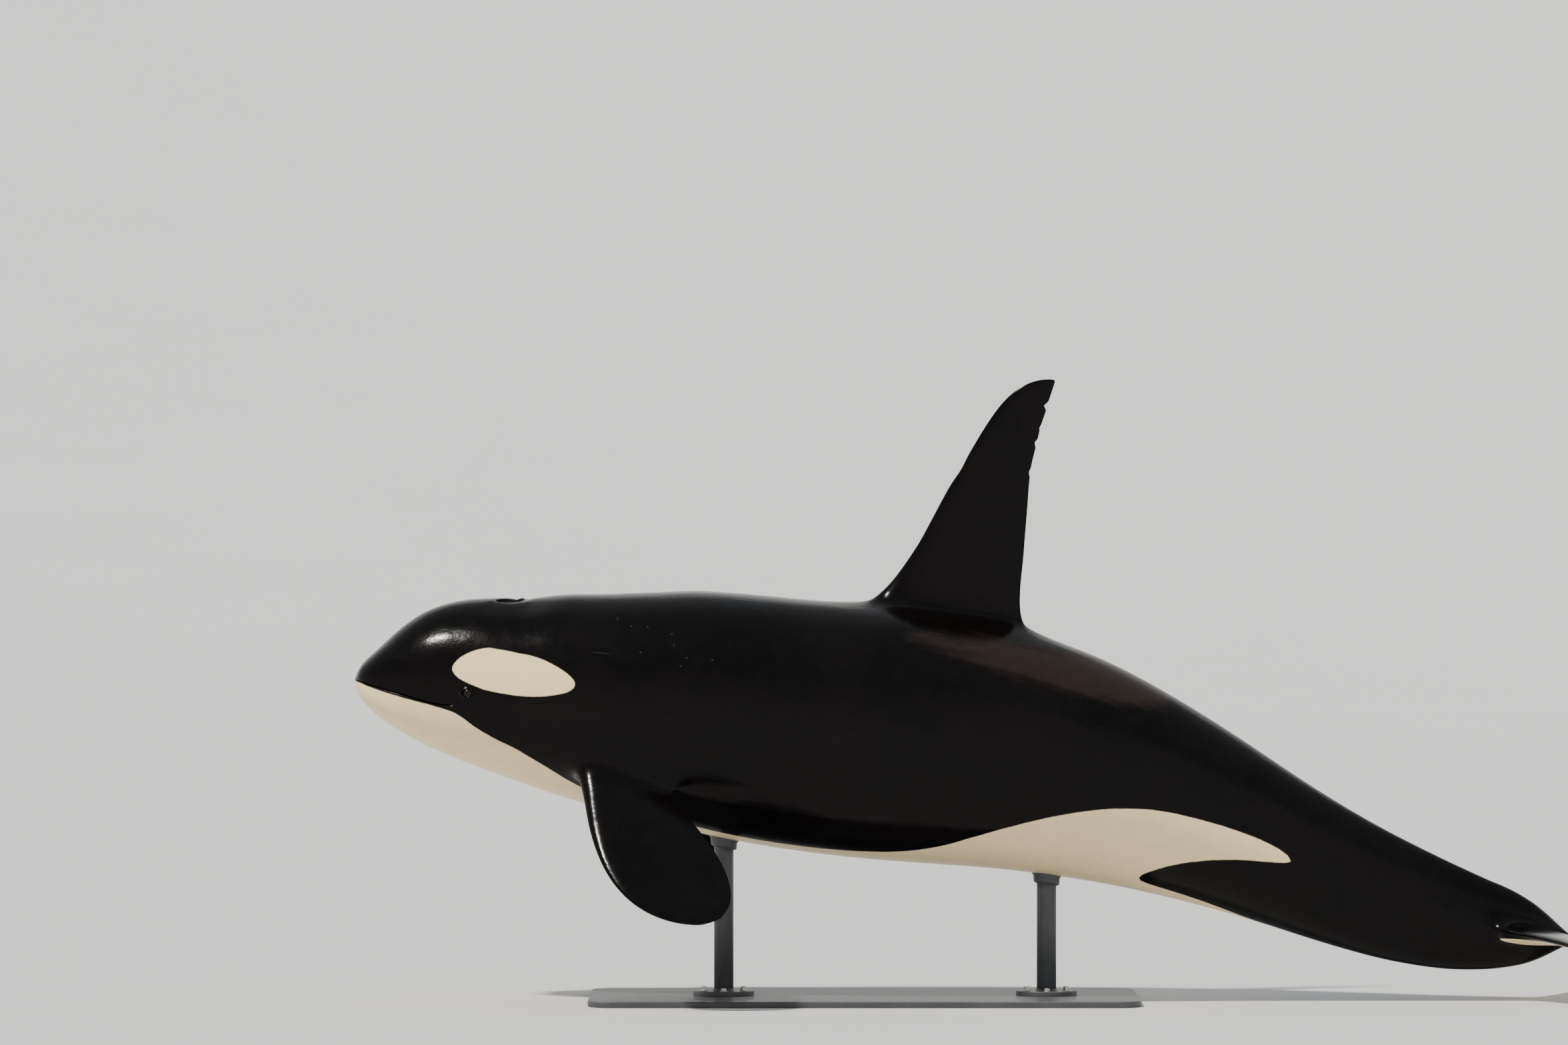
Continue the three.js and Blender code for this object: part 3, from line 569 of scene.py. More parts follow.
def crescent(count):
    """The outline of the slit of the blowhole: its fore edge round the plug, and its aft edge."""
    long, wide, slit, sweep = (BLOWHOLE[k] for k in ("long", "wide", "slit", "sweep"))
    inner, narrow = long - slit, wide - slit / 2
    fore = np.radians(np.linspace(0, sweep, PLUG_POINTS + 1)[:-1])
    aft = np.radians(np.linspace(sweep, -sweep, count - 2 * PLUG_POINTS + 1))
    xs = np.concatenate((inner * np.cos(fore), long * np.cos(aft), inner * np.cos(fore[:0:-1])))
    ys = np.concatenate((-narrow * np.sin(fore), -wide * np.sin(aft), narrow * np.sin(fore[:0:-1])))
    return np.array((xs - long, ys))


def bed(count):
    """The outline of the shallow bed that the blowhole lies in, its points matched to the slit's."""
    long, wide, behind, sweep = (BED[k] for k in ("long", "wide", "behind", "sweep"))
    fore = np.linspace(0, sweep, PLUG_POINTS + 1)[:-1]
    aft = np.linspace(sweep, 360 - sweep, count - 2 * PLUG_POINTS + 1)
    angle = np.radians(np.concatenate((fore, aft, -fore[:0:-1])))
    return np.array((behind - long * np.cos(angle), -wide * np.sin(angle)))


def form_blowhole(bm, skin):
    """A crescent slit on top of the head, open for a breath, its horns forward."""
    loop = opening(bm, skin, "blowhole")
    count = len(loop)
    slit, rim = crescent(count), bed(count)
    plug = np.isin(np.arange(count) % (count - PLUG_POINTS + 1), np.arange(PLUG_POINTS))
    free = bm.verts.layers.float["root"]
    for v, x, y in zip(loop, *rim):
        v.co = crown_at(BLOWHOLE["at"] + x / LENGTH, y)
        v[free] = BED_FREEDOM
    for share, lift, plug_lift in BLOWHOLE_FOLDS:
        x, y = slit + (rim - slit) * share
        sunk = HORN_DEPTH * smoothstep(np.abs(y), *HORNS) * (1 - smoothstep(share, 0.1, 0.7)) * ~plug
        places = crown_at(BLOWHOLE["at"] + x / LENGTH, y)
        places[:, 2] += np.where(plug, plug_lift, lift) - sunk
        loop = extrude_loop(bm, loop, places, {"root": BED_FREEDOM if share > 0.3 else 0.0})
    close(bm, loop)


def build_cage():
    """The whole skin as one coarse closed mesh, which Subdivision Surface then rounds."""
    bm = bmesh.new()
    for name in SKIN_LAYERS:
        bm.verts.layers.float.new(name)
    first = bmesh.ops.create_circle(bm, segments=COLUMNS)["verts"]
    for v, place in zip(first, ring(STATIONS[0])):
        v.co = place
    skin = [first]
    for at in STATIONS[1:]:
        skin.append(extrude_loop(bm, skin[-1], ring(at)))
    close_snout(bm, skin[0])
    close(bm, skin[-1])
    grow_dorsal_fin(bm, skin)
    form_blowhole(bm, skin)
    for mirror in (False, True):
        grow_flipper(bm, skin, mirror)
        grow_fluke(bm, skin, mirror)
        form_eyelids(bm, skin, mirror)
    bmesh.ops.recalc_face_normals(bm, faces=bm.faces[:])
    mesh = bpy.data.meshes.new("orca_skin")
    bm.to_mesh(mesh)
    bm.free()
    return mesh


def coordinates(mesh):
    flat = np.empty(len(mesh.vertices) * 3, np.float32)
    mesh.vertices.foreach_get("co", flat)
    return flat.reshape(-1, 3).astype(float)


def set_coordinates(mesh, points):
    mesh.vertices.foreach_set("co", np.asarray(points, np.float32).ravel())
    mesh.update()


def layer_values(mesh, name):
    values = np.empty(len(mesh.vertices), np.float32)
    mesh.attributes[name].data.foreach_get("value", values)
    return values


def spread(mesh, values, share):
    """Passes a share of each vertex's value on to its neighbours."""
    ends = np.empty(len(mesh.edges) * 2, np.int32)
    mesh.edges.foreach_get("vertices", ends)
    a, b = ends.reshape(-1, 2).T
    wide = values.copy()
    np.maximum.at(wide, a, share * values[b])
    np.maximum.at(wide, b, share * values[a])
    return wide


def shade_smooth(mesh):
    mesh.polygons.foreach_set("use_smooth", [True] * len(mesh.polygons))


def round_off(obj, levels, fits=2):
    """Subdivides an object's mesh for good, its smooth surface brought back to the coarse vertices. The
    roots of the fins are left out of that, and smoothed into the body."""
    modifier = obj.modifiers.new("rounding", "SUBSURF")
    modifier.levels = modifier.render_levels = levels
    wanted = coordinates(obj.data)
    root = layer_values(obj.data, "root")
    for share in ROOT_SPREAD:
        root = spread(obj.data, root, share)
    firm = FIT_SHARE * (1 - root)[:, None]
    for _ in range(fits):
        bpy.context.view_layer.update()
        shown = obj.evaluated_get(bpy.context.evaluated_depsgraph_get()).to_mesh()
        reached = coordinates(shown)[: len(wanted)]
        set_coordinates(obj.data, coordinates(obj.data) + firm * (wanted - reached))
    group = obj.vertex_groups.new(name="roots")
    for k in np.nonzero(root)[0]:
        group.add([int(k)], float(root[k]), "REPLACE")
    blend = obj.modifiers.new("blend", "SMOOTH")
    blend.vertex_group, blend.factor, blend.iterations = group.name, 0.5, ROOT_SMOOTHING
    bpy.context.view_layer.update()
    graph = bpy.context.evaluated_depsgraph_get()
    rounded = bpy.data.meshes.new_from_object(
        obj.evaluated_get(graph), preserve_all_data_layers=True, depsgraph=graph
    )
    obj.modifiers.clear()
    obj.vertex_groups.clear()
    obj.data = rounded
    shade_smooth(obj.data)
    return obj


# Markings. The eye patch is drawn over the side view, as fractions of the length, and the white of the
# underside over the unrolled skin: along the body, and degrees up from the middle of the belly.
EYE_PATCH = (
    (0.0772, 0.0215), (0.0812, 0.0273), (0.0893, 0.0331), (0.1009, 0.0374), (0.1115, 0.0374),
    (0.125, 0.0365), (0.1344, 0.0358), (0.144, 0.034), (0.1523, 0.0315), (0.1608, 0.0278),
    (0.1679, 0.0239), (0.1722, 0.02), (0.1728, 0.0155), (0.168, 0.0112), (0.158, 0.0075),
    (0.146, 0.0052), (0.132, 0.004), (0.118, 0.0042), (0.104, 0.0056), (0.091, 0.0088), (0.0822, 0.0124),
    (0.0773, 0.0167),
)
# The faint saddle behind the dorsal fin, over the side view; its top runs on across the back
SADDLE = (
    (0.4229, 0.0866), (0.4402, 0.09), (0.4584, 0.0889), (0.4752, 0.0906), (0.4916, 0.0921), (0.508, 0.0924),
    (0.5241, 0.0937), (0.54, 0.0945), (0.5561, 0.0975), (0.58, 0.0985), (0.603, 0.094), (0.618, 0.083),
    (0.612, 0.071), (0.59, 0.063), (0.56, 0.0595), (0.525, 0.0605), (0.49, 0.0655), (0.46, 0.0715),
    (0.435, 0.077), (0.422, 0.0815),
)
# Small pale flecks and scars on the left side: where on the side view, half their length and height in
# metres, and how clear they are
FLECKS = (
    (0.1999, 0.0709, 0.006, 0.005, 1), (0.2112, 0.0667, 0.005, 0.004, 1), (0.2238, 0.0672, 0.007, 0.004, 1),
    (0.2431, 0.0639, 0.005, 0.005, 1), (0.2457, 0.0557, 0.006, 0.005, 1), (0.2566, 0.0473, 0.006, 0.004, 1),
    (0.2763, 0.0477, 0.008, 0.004, 1), (0.2205, 0.0474, 0.005, 0.005, 1), (0.2528, 0.0406, 0.006, 0.004, 1),
    (0.1902, 0.0437, 0.06, 0.003, 0.6), (0.423, 0.0915, 0.006, 0.055, 0.06),
)
FLECK_DEEP = 0.12  # how deep into the body their ovals reach
# Folds on the middle of the belly, the navel first: where, and half their length in metres. Along them the
# white is made darker as painted shade in their creases
BELLY_FOLDS = ((0.452, 0.035), (0.598, 0.13), (0.652, 0.028))
FOLD_HALF = 0.007  # of a fold's width
FOLD_DEEP = 0.1
# The white of the underside
UNDERSIDE = (
    (-0.03, -50), (-0.03, 86), (0, 86), (0.012, 84.5), (0.03, 83), (0.05, 81), (0.068, 79), (0.08, 77),
    (0.09, 72), (0.1, 66), (0.115, 60), (0.135, 54), (0.155, 47), (0.175, 39), (0.2, 31), (0.23, 25),
    (0.27, 21), (0.32, 19), (0.37, 19.5), (0.41, 22), (0.44, 26), (0.47, 34), (0.5, 45), (0.54, 59),
    (0.58, 72), (0.62, 83), (0.66, 91.5), (0.7, 96.5), (0.728, 97.5), (0.744, 94), (0.747, 88),
    (0.736, 81), (0.712, 73), (0.686, 63), (0.664, 52), (0.65, 42), (0.643, 34), (0.645, 28), (0.66, 25),
    (0.685, 22), (0.71, 17), (0.732, 9), (0.745, 0), (0.75, -50),
)
FAR_OUTSIDE = -0.2  # of every mark


def round_line(points, steps=6):
    """A closed smooth line through the points."""
    p = np.array(points, float)
    t = np.arange(steps)[:, None] / steps
    spans = []
    for k, b in enumerate(p):
        a, c, d = p[k - 1], p[(k + 1) % len(p)], p[(k + 2) % len(p)]
        square, cube = 2 * a - 5 * b + 4 * c - d, 3 * b - a - 3 * c + d
        spans.append(0.5 * (2 * b + (c - a) * t + square * t**2 + cube * t**3))
    return np.concatenate(spans)


def distance_inside(points, line, scale):
    """How far inside a closed line points are, in metres: less than zero outside. scale gives the metres
    of a step, as one number or in each direction at every point."""
    nearest = np.full(len(points), np.inf)
    inside = np.zeros(len(points), bool)
    for a, b in zip(line, np.roll(line, -1, axis=0)):
        off, run = (points - a) * scale, (b - a) * scale
        share = np.clip((off * run).sum(-1) / np.maximum((run * run).sum(-1), 1e-12), 0, 1)
        nearest = np.minimum(nearest, ((off - share[:, None] * run) ** 2).sum(-1))
        crosses = (a[1] > points[:, 1]) != (b[1] > points[:, 1])
        rise = b[1] - a[1] if b[1] != a[1] else 1e-12
        inside ^= crosses & (points[:, 0] < a[0] + (points[:, 1] - a[1]) * (b[0] - a[0]) / rise)
    return np.sqrt(nearest) * np.where(inside, 1, -1)


def inside_belly_white(at, side, height, layer):
    """How far inside the white of the underside points are. It leaves out the flippers and the flukes."""
    up_from_belly = np.degrees(math.pi - angle_of(at, side, height))
    radius = (flank(at) + (back(at) + belly(at)) / 2) / 2 * LENGTH
    scale = np.stack((np.full(len(at), LENGTH), np.radians(radius)), 1)
    under = distance_inside(np.stack((at, up_from_belly), 1), round_line(UNDERSIDE), scale)
    under = np.minimum(under, (0.5 - layer["flipper"]) * 0.1)
    return np.where(layer["fluke"] > 0, FAR_OUTSIDE, under)


def inside_fluke_white(layer):
    """How far inside the white undersides of the flukes points are."""
    out, chord = layer["out"], layer["chord"]
    long = curve(FLUKE, 2)(out) - curve(FLUKE, 1)(out)
    limits = ((chord - 0.09) * long, (0.9 - chord) * long, 0.8 - out, layer["under"] * 0.05)
    return np.where(layer["fluke"] > 0.5, np.minimum.reduce(limits), FAR_OUTSIDE)


def mark_skin(mesh):
    """Writes what the finish reads from the skin: distances inside its white and grey marks, and each
    point's place on the straight body."""
    layer = {name: layer_values(mesh, name) for name in SKIN_LAYERS}
    at, side, height = unbend(coordinates(mesh))
    side_view = np.stack((at, height / LENGTH), 1)
    patch = distance_inside(side_view, round_line(EYE_PATCH), LENGTH)
    under = inside_belly_white(at, side, height, layer)
    white = np.maximum.reduce((patch, under, inside_fluke_white(layer)))
    saddle = distance_inside(side_view, round_line(SADDLE), LENGTH)
    saddle = np.minimum(saddle, (0.5 - layer["dorsal"]) * 0.2)
    for name, value in (("white_mark", white), ("saddle_mark", saddle)):
        attribute = mesh.attributes.new(name, "FLOAT", "POINT")
        attribute.data.foreach_set("value", np.asarray(value, np.float32))
    straight = mesh.attributes.new("straight", "FLOAT_VECTOR", "POINT")
    place = np.stack((at * LENGTH, side, height), 1)
    straight.data.foreach_set("vector", place.astype(np.float32).ravel())
    for name in SKIN_LAYERS:
        mesh.attributes.remove(mesh.attributes[name])


def cut_nicks(mesh):
    """Moves the trailing edge of the dorsal fin forward at its old nicks."""
    points = coordinates(mesh)
    fin = layer_values(mesh, "dorsal")
    origin = fin_origin()
    high = points[:, 2] - origin[2]
    behind = origin[0] + curve(DORSAL, 2)(high) - points[:, 0]
    for height, deep, tall in NICKS:
        bite = deep * np.exp(-(((high - height) / tall) ** 2)) * np.exp(-((behind / NICK_REACH) ** 2))
        points[:, 0] -= np.where(fin > 0.99, bite, 0)
    set_coordinates(mesh, points)


class Value:
    """The output of a shader node, used as a number in expressions."""

    def __init__(self, finish, socket):
        self.finish = finish
        self.socket = socket

    def math(self, operation, *terms):
        return self.finish.node("Math", {"operation": operation}, dict(enumerate(terms)))

    def __add__(self, other):
        return self.math("ADD", self, other)

    def __sub__(self, other):
        return self.math("SUBTRACT", self, other)

    def __rsub__(self, other):
        return self.math("SUBTRACT", other, self)

    def __mul__(self, other):
        return self.math("MULTIPLY", self, other)

    __radd__ = __add__
    __rmul__ = __mul__

    def step(self, low, high):
        """Rises smoothly from 0 to 1 between two values."""
        settings = {"interpolation_type": "SMOOTHSTEP"}
        return self.finish.node("MapRange", settings, {"Value": self, "From Min": low, "From Max": high})


class Finish:
    """A material, its nodes added one expression at a time."""

    def __init__(self, name, **constants):
        self.material = bpy.data.materials.new(name)
        self.material.use_nodes = True
        self.tree = self.material.node_tree
        self.shader = self.tree.nodes["Principled BSDF"]
        self.set(**constants)

    def set(self, **sockets):
        for name, value in sockets.items():
            self.feed(self.shader.inputs[name.replace("_", " ")], value)

    def feed(self, socket, value):
        if isinstance(value, Value):
            self.tree.links.new(value.socket, socket)
        else:
            socket.default_value = value

    def node(self, kind, settings=None, inputs=None, output=0):
        made = self.tree.nodes.new("ShaderNode" + kind)
        for name, value in (settings or {}).items():
            setattr(made, name, value)
        for name, value in (inputs or {}).items():
            self.feed(made.inputs[name], value)
        return Value(self, made.outputs[output])

    def attribute(self, name, output="Fac"):
        return self.node("Attribute", {"attribute_name": name}, output=output)

    def noise(self, where, scale, detail=2.0, roughness=0.5):
        inputs = {"Vector": where, "Scale": scale, "Detail": detail, "Roughness": roughness}
        return self.node("TexNoise", {"noise_dimensions": "3D"}, inputs)

    def stretch(self, where, scale):
        return self.node("Mapping", {"vector_type": "POINT"}, {"Vector": where, "Scale": scale})

    def place(self):
        return self.node("TexCoord", output="Object")

    def oval(self, where, centre, half, edge=0.5):
        """1 inside an oval round a point, fading out towards its rim."""
        off = self.node("VectorMath", {"operation": "SUBTRACT"}, {0: where, 1: centre})
        off = self.node("VectorMath", {"operation": "DIVIDE"}, {0: off, 1: half})
        length = self.node("VectorMath", {"operation": "LENGTH"}, {0: off}, output=1)
        return 1 - length.step(edge, 1)

    def blend(self, share, a, b):
        """Goes from colour a to colour b. A Mix node's colours are its inputs 6 and 7 and its output 2."""
        return self.node("Mix", {"data_type": "RGBA"}, {0: share, 6: a, 7: b}, output=2)

    def bump(self, height, depth):
        return self.node("Bump", inputs={"Strength": 1.0, "Distance": depth, "Height": height})


def shade(values, factor=1.0):
    """A colour for a socket, made darker or lighter."""
    return (*(v * factor for v in values), 1.0)


def side_point(at, height):
    """A point on the left side of the straight skin, its height given as a fraction of the length."""
    return at * LENGTH, -float(outline(at, angle_at(at, height))[0]), height * LENGTH


def black_skin(finish, look, straight, broad, mottle, fine, saddle):
    """Near-black, a little uneven, with the brown saddle and the pale flecks and scars."""
    black = finish.blend(broad.step(0.35, 0.7), shade(look.black, 0.75), shade(look.black, 1.4))
    black = finish.blend(mottle.step(0.45, 0.75) * 0.5, black, shade(look.black, 2.0))
    black = finish.blend(saddle * (0.7 + mottle * 0.6), black, shade(look.saddle))
    flecks = 0
    for at, height, long, high, clear in FLECKS:
        flecks += finish.oval(straight, side_point(at, height), (long, FLECK_DEEP, high)) * clear
    return finish.blend(flecks * (0.1 + fine * 0.5), black, shade(look.scars))


def belly_folds(finish, straight):
    """1 in the middle of the folds along the belly."""
    folds = 0
    for at, half in BELLY_FOLDS:
        middle = (at * LENGTH, 0, -float(belly(at)) * LENGTH)
        folds += finish.oval(straight, middle, (half, FOLD_HALF, FOLD_DEEP), 0)
    return folds


def skin_finish(look):
    finish = Finish("orca_skin", Coat_Weight=0.03, Coat_Roughness=0.08, Specular_IOR_Level=0.1)
    place = finish.place()
    straight = finish.attribute("straight", "Vector")
    broad = finish.noise(place, 2.2, 3)
    mottle = finish.noise(place, 14, 4, 0.6)
    streak = finish.noise(finish.stretch(straight, (2.2, 26, 26)), 1, 3, 0.6)
    fine = finish.noise(place, 180, 2)

    saddle = finish.attribute("saddle_mark") + (streak - 0.5) * 0.09 + (mottle - 0.5) * 0.03
    saddle = saddle.step(-0.02, 0.07)
    black = black_skin(finish, look, straight, broad, mottle, fine, saddle)
    folds = belly_folds(finish, straight)
    white = finish.blend(mottle.step(0.35, 0.75) * 0.5, shade(look.white), shade(look.white, 0.88))
    white = finish.blend(streak.step(0.55, 0.8) * 0.25, white, shade(look.white, 0.75))
    # Painted shade: the white goes darker along the belly folds, as if shade lay in their creases
    white = finish.blend(folds * 0.7, white, shade(look.white, 0.25))
    edge = finish.attribute("white_mark") + (mottle - 0.5) * 0.008 + (fine - 0.5) * 0.002
    is_white = edge.step(-0.003, 0.003)

    finish.set(
        Base_Color=finish.blend(is_white, black, white),
        Roughness=0.1 + mottle * 0.1 + fine * 0.04 + saddle * 0.08 + is_white * 0.16,
        Normal=finish.bump(fine * 0.12 + mottle * 1.2 + streak * 0.8 - folds * 4.0, 0.0012),
    )
    return finish.material


PUPIL = (0.004, 0.005, 0.007)
EYE_WHITES = ((0.012, 0.009, 0.008), (0.03, 0.022, 0.019))


def eye_finish(look):
    """Rings round the way the eye looks: the pupil, the rayed iris and the dark white of the eye."""
    finish = Finish(
        "orca_eye", Roughness=0.06, Specular_IOR_Level=0.14, Coat_Weight=0.04, Coat_Roughness=0.02
    )
    gaze = finish.attribute("gaze")
    around = finish.attribute("ray") * 9.0
    grain = finish.noise(finish.place(), 900, 3)
    rays = finish.noise(finish.node("CombineXYZ", inputs={"X": around, "Y": gaze * 2.0}), 3, 3)
    iris = finish.blend(rays.step(0.35, 0.65), shade(look.iris, 0.6), shade(look.iris, 1.6))
    eye_white = finish.blend(grain.step(0.4, 0.7), shade(EYE_WHITES[0]), shade(EYE_WHITES[1]))
    rings = finish.blend(gaze.step(0.5, 0.56), iris, eye_white)
    finish.set(Base_Color=finish.blend(gaze.step(0.2, 0.23), shade(PUPIL), rings))
    return finish.material


def steel_finish(look):
    finish = Finish("painted_steel", Metallic=0.0, Coat_Weight=0.1)
    place = finish.place()
    orange_peel = finish.noise(place, 420, 2)
    cloud = finish.noise(place, 3.5, 4, 0.6)
    dust = finish.noise(place, 60, 4, 0.7)
    base = finish.blend(cloud.step(0.35, 0.7), shade(look.steel, 0.85), shade(look.steel, 1.2))
    base = finish.blend(dust.step(0.62, 0.8) * 0.2, base, shade(look.steel, 2.2))
    finish.set(
        Base_Color=base,
        Roughness=0.4 + cloud * 0.12 + dust * 0.1,
        Normal=finish.bump(orange_peel, 0.0006),
    )
    return finish.material


ZINCS = ((0.42, 0.42, 0.41), (0.62, 0.61, 0.58))


def bolt_finish():
    finish = Finish("zinc_bolt", Metallic=1.0)
    grain = finish.noise(finish.place(), 160, 4, 0.6)
    finish.set(
        Base_Color=finish.blend(grain.step(0.35, 0.7), shade(ZINCS[0]), shade(ZINCS[1])),
        Roughness=0.28 + grain * 0.2,
        Normal=finish.bump(grain, 0.0003),
    )
    return finish.material


def new_object(name, mesh, material=None):
    obj = bpy.data.objects.new(name, mesh)
    bpy.context.scene.collection.objects.link(obj)
    if material:
        obj.data.materials.append(material)
    return obj


def from_bmesh(name, bm, material):
    bmesh.ops.remove_doubles(bm, verts=bm.verts[:], dist=1e-6)
    bmesh.ops.recalc_face_normals(bm, faces=bm.faces[:])
    mesh = bpy.data.meshes.new(name)
    bm.to_mesh(mesh)
    bm.free()
    return new_object(name, mesh, material)


def colour_setting(name, description, default):
    return bpy.props.FloatVectorProperty(
        name=name, description=description, subtype="COLOR", size=3, min=0, max=1, default=default
    )


class OrcaSkinSettings(bpy.types.PropertyGroup):
    """Colours and fineness of the skin."""

    black: colour_setting("Black", "The back, sides and fins", (0.0024, 0.0019, 0.0017))
    white: colour_setting("White", "The eye patch and underside", (0.93, 0.75, 0.44))
    saddle: colour_setting("Saddle", "The faint patch behind the dorsal fin", (0.02, 0.0135, 0.011))
    scars: colour_setting("Scars", "The small pale flecks and scars", (0.09, 0.084, 0.078))
    levels: bpy.props.IntProperty(
        name="Levels", description="How often the coarse skin is subdivided", default=2, min=1, max=3
    )


class OrcaEyeSettings(bpy.types.PropertyGroup):
    """Colour of the eyes."""

    iris: colour_setting("Iris", "The ring round the pupil", (0.016, 0.009, 0.006))


class OrcaStandSettings(bpy.types.PropertyGroup):
    """Colour and sizes of the display stand."""

    steel: colour_setting("Steel", "The painted steel", (0.05, 0.053, 0.058))
    bolt: bpy.props.FloatProperty(
        name="Bolt", description="Across the flats of a bolt head", default=0.024, min=0.01, max=0.05,
        unit="LENGTH",
    )


class OrcaStageSettings(bpy.types.PropertyGroup):
    """Floor and camera."""

    floor: colour_setting("Floor", "The studio floor and backdrop", (0.66, 0.665, 0.67))
    distance: bpy.props.FloatProperty(
        name="Distance", description="From the camera to the middle of the model", default=42.872,
        unit="LENGTH",
    )
    lens: bpy.props.FloatProperty(
        name="Lens", description="Focal length", default=200, min=20, max=400, unit="CAMERA"
    )


class ORCA_OT_skin(bpy.types.Operator):
    """Makes the skin, one closed surface with its fins, lids, lips and blowhole."""

    bl_idname = "orca.skin"
    bl_label = "Skin"

    def execute(self, context):
        look = context.scene.orca_skin
        skin = round_off(new_object("orca_skin", build_cage()), look.levels)
        cut_nicks(skin.data)
        mark_skin(skin.data)
        skin.data.materials.append(skin_finish(look))
        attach(skin, "root")
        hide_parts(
            "head", "lower_jaw", "chest", "midbody", "loin", "tail_stock", "dorsal_fin",
            "flipper_left", "flipper_right", "fluke_left", "fluke_right",
        )
        return {"FINISHED"}


class ORCA_OT_eyes(bpy.types.Operator):
    """Makes both eyes, each a glossy ball that bulges over its iris and pupil."""

    bl_idname = "orca.eyes"
    bl_label = "Eyes"

    def execute(self, context):
        material = eye_finish(context.scene.orca_eyes)
        for name, mirror in (("left", False), ("right", True)):
            self.make_eye(name, mirror, material)
        return {"FINISHED"}

    def make_eye(self, name, mirror, material):
        point, facing = skin_at(EYE["at"], EYE["height"])
        centre = Vector((point - facing * EYE["sunk"]) * sides(mirror))
        turn = Vector(facing * sides(mirror)).to_track_quat("Z", "Y").to_matrix().to_4x4()
        bm = bmesh.new()
        bmesh.ops.create_uvsphere(bm, u_segments=48, v_segments=36, radius=EYE["radius"])
        gaze = bm.verts.layers.float.new("gaze")
        ray = bm.verts.layers.float.new("ray")
        for v in bm.verts:
            v[gaze] = math.acos(max(-1, min(1, v.co.z / EYE["radius"])))
            v[ray] = abs(math.atan2(v.co.y, v.co.x))
            v.co *= 1 + EYE["bulge"] * math.exp(-((v[gaze] / EYE["bulge_turn"]) ** 2))
        bmesh.ops.transform(bm, matrix=Matrix.Translation(centre) @ turn, verts=bm.verts[:])
        eye = from_bmesh("orca_eye_" + name, bm, material)
        shade_smooth(eye.data)
        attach(eye, "root")
        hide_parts("eye_" + name)


def lathe(bm, profile, x, segments=64):
    """Turns a profile of radius and height about the upright line at x."""
    verts = [bm.verts.new((x + r, 0, z)) for r, z in profile]
    edges = [bm.edges.new(pair) for pair in zip(verts, verts[1:])]
    bmesh.ops.spin(
        bm, geom=verts + edges, cent=(x, 0, 0), axis=(0, 0, 1), steps=segments, angle=2 * math.pi,
        use_merge=True,
    )


# The stand: how far below the skin a post's collar starts, then its rings, how much wider than the post and
# how far above the skin. The weld on a foot, wider than the post and above the foot. Of a bolt's washer and
# head: sides, radius over the flats, height and lift.
UP = Vector((0, 0, 1))
EDGE = 0.004
NECK = 0.08
COLLAR = ((0, -0.05), (0.012, -0.046), (0.016, -0.04), (0.018, -0.012), (0.024, -0.004), (0.024, 0.006))
WELD = ((0.012, 0), (0.006, 0.003), (0.001, 0.009), (-0.004, 0.009))
BOLTS = 6
BOLT_RING = 0.112
BOLT_PARTS = ((32, 0.78, 0.003, 0), (6, 0.577, 0.013, 0.003))


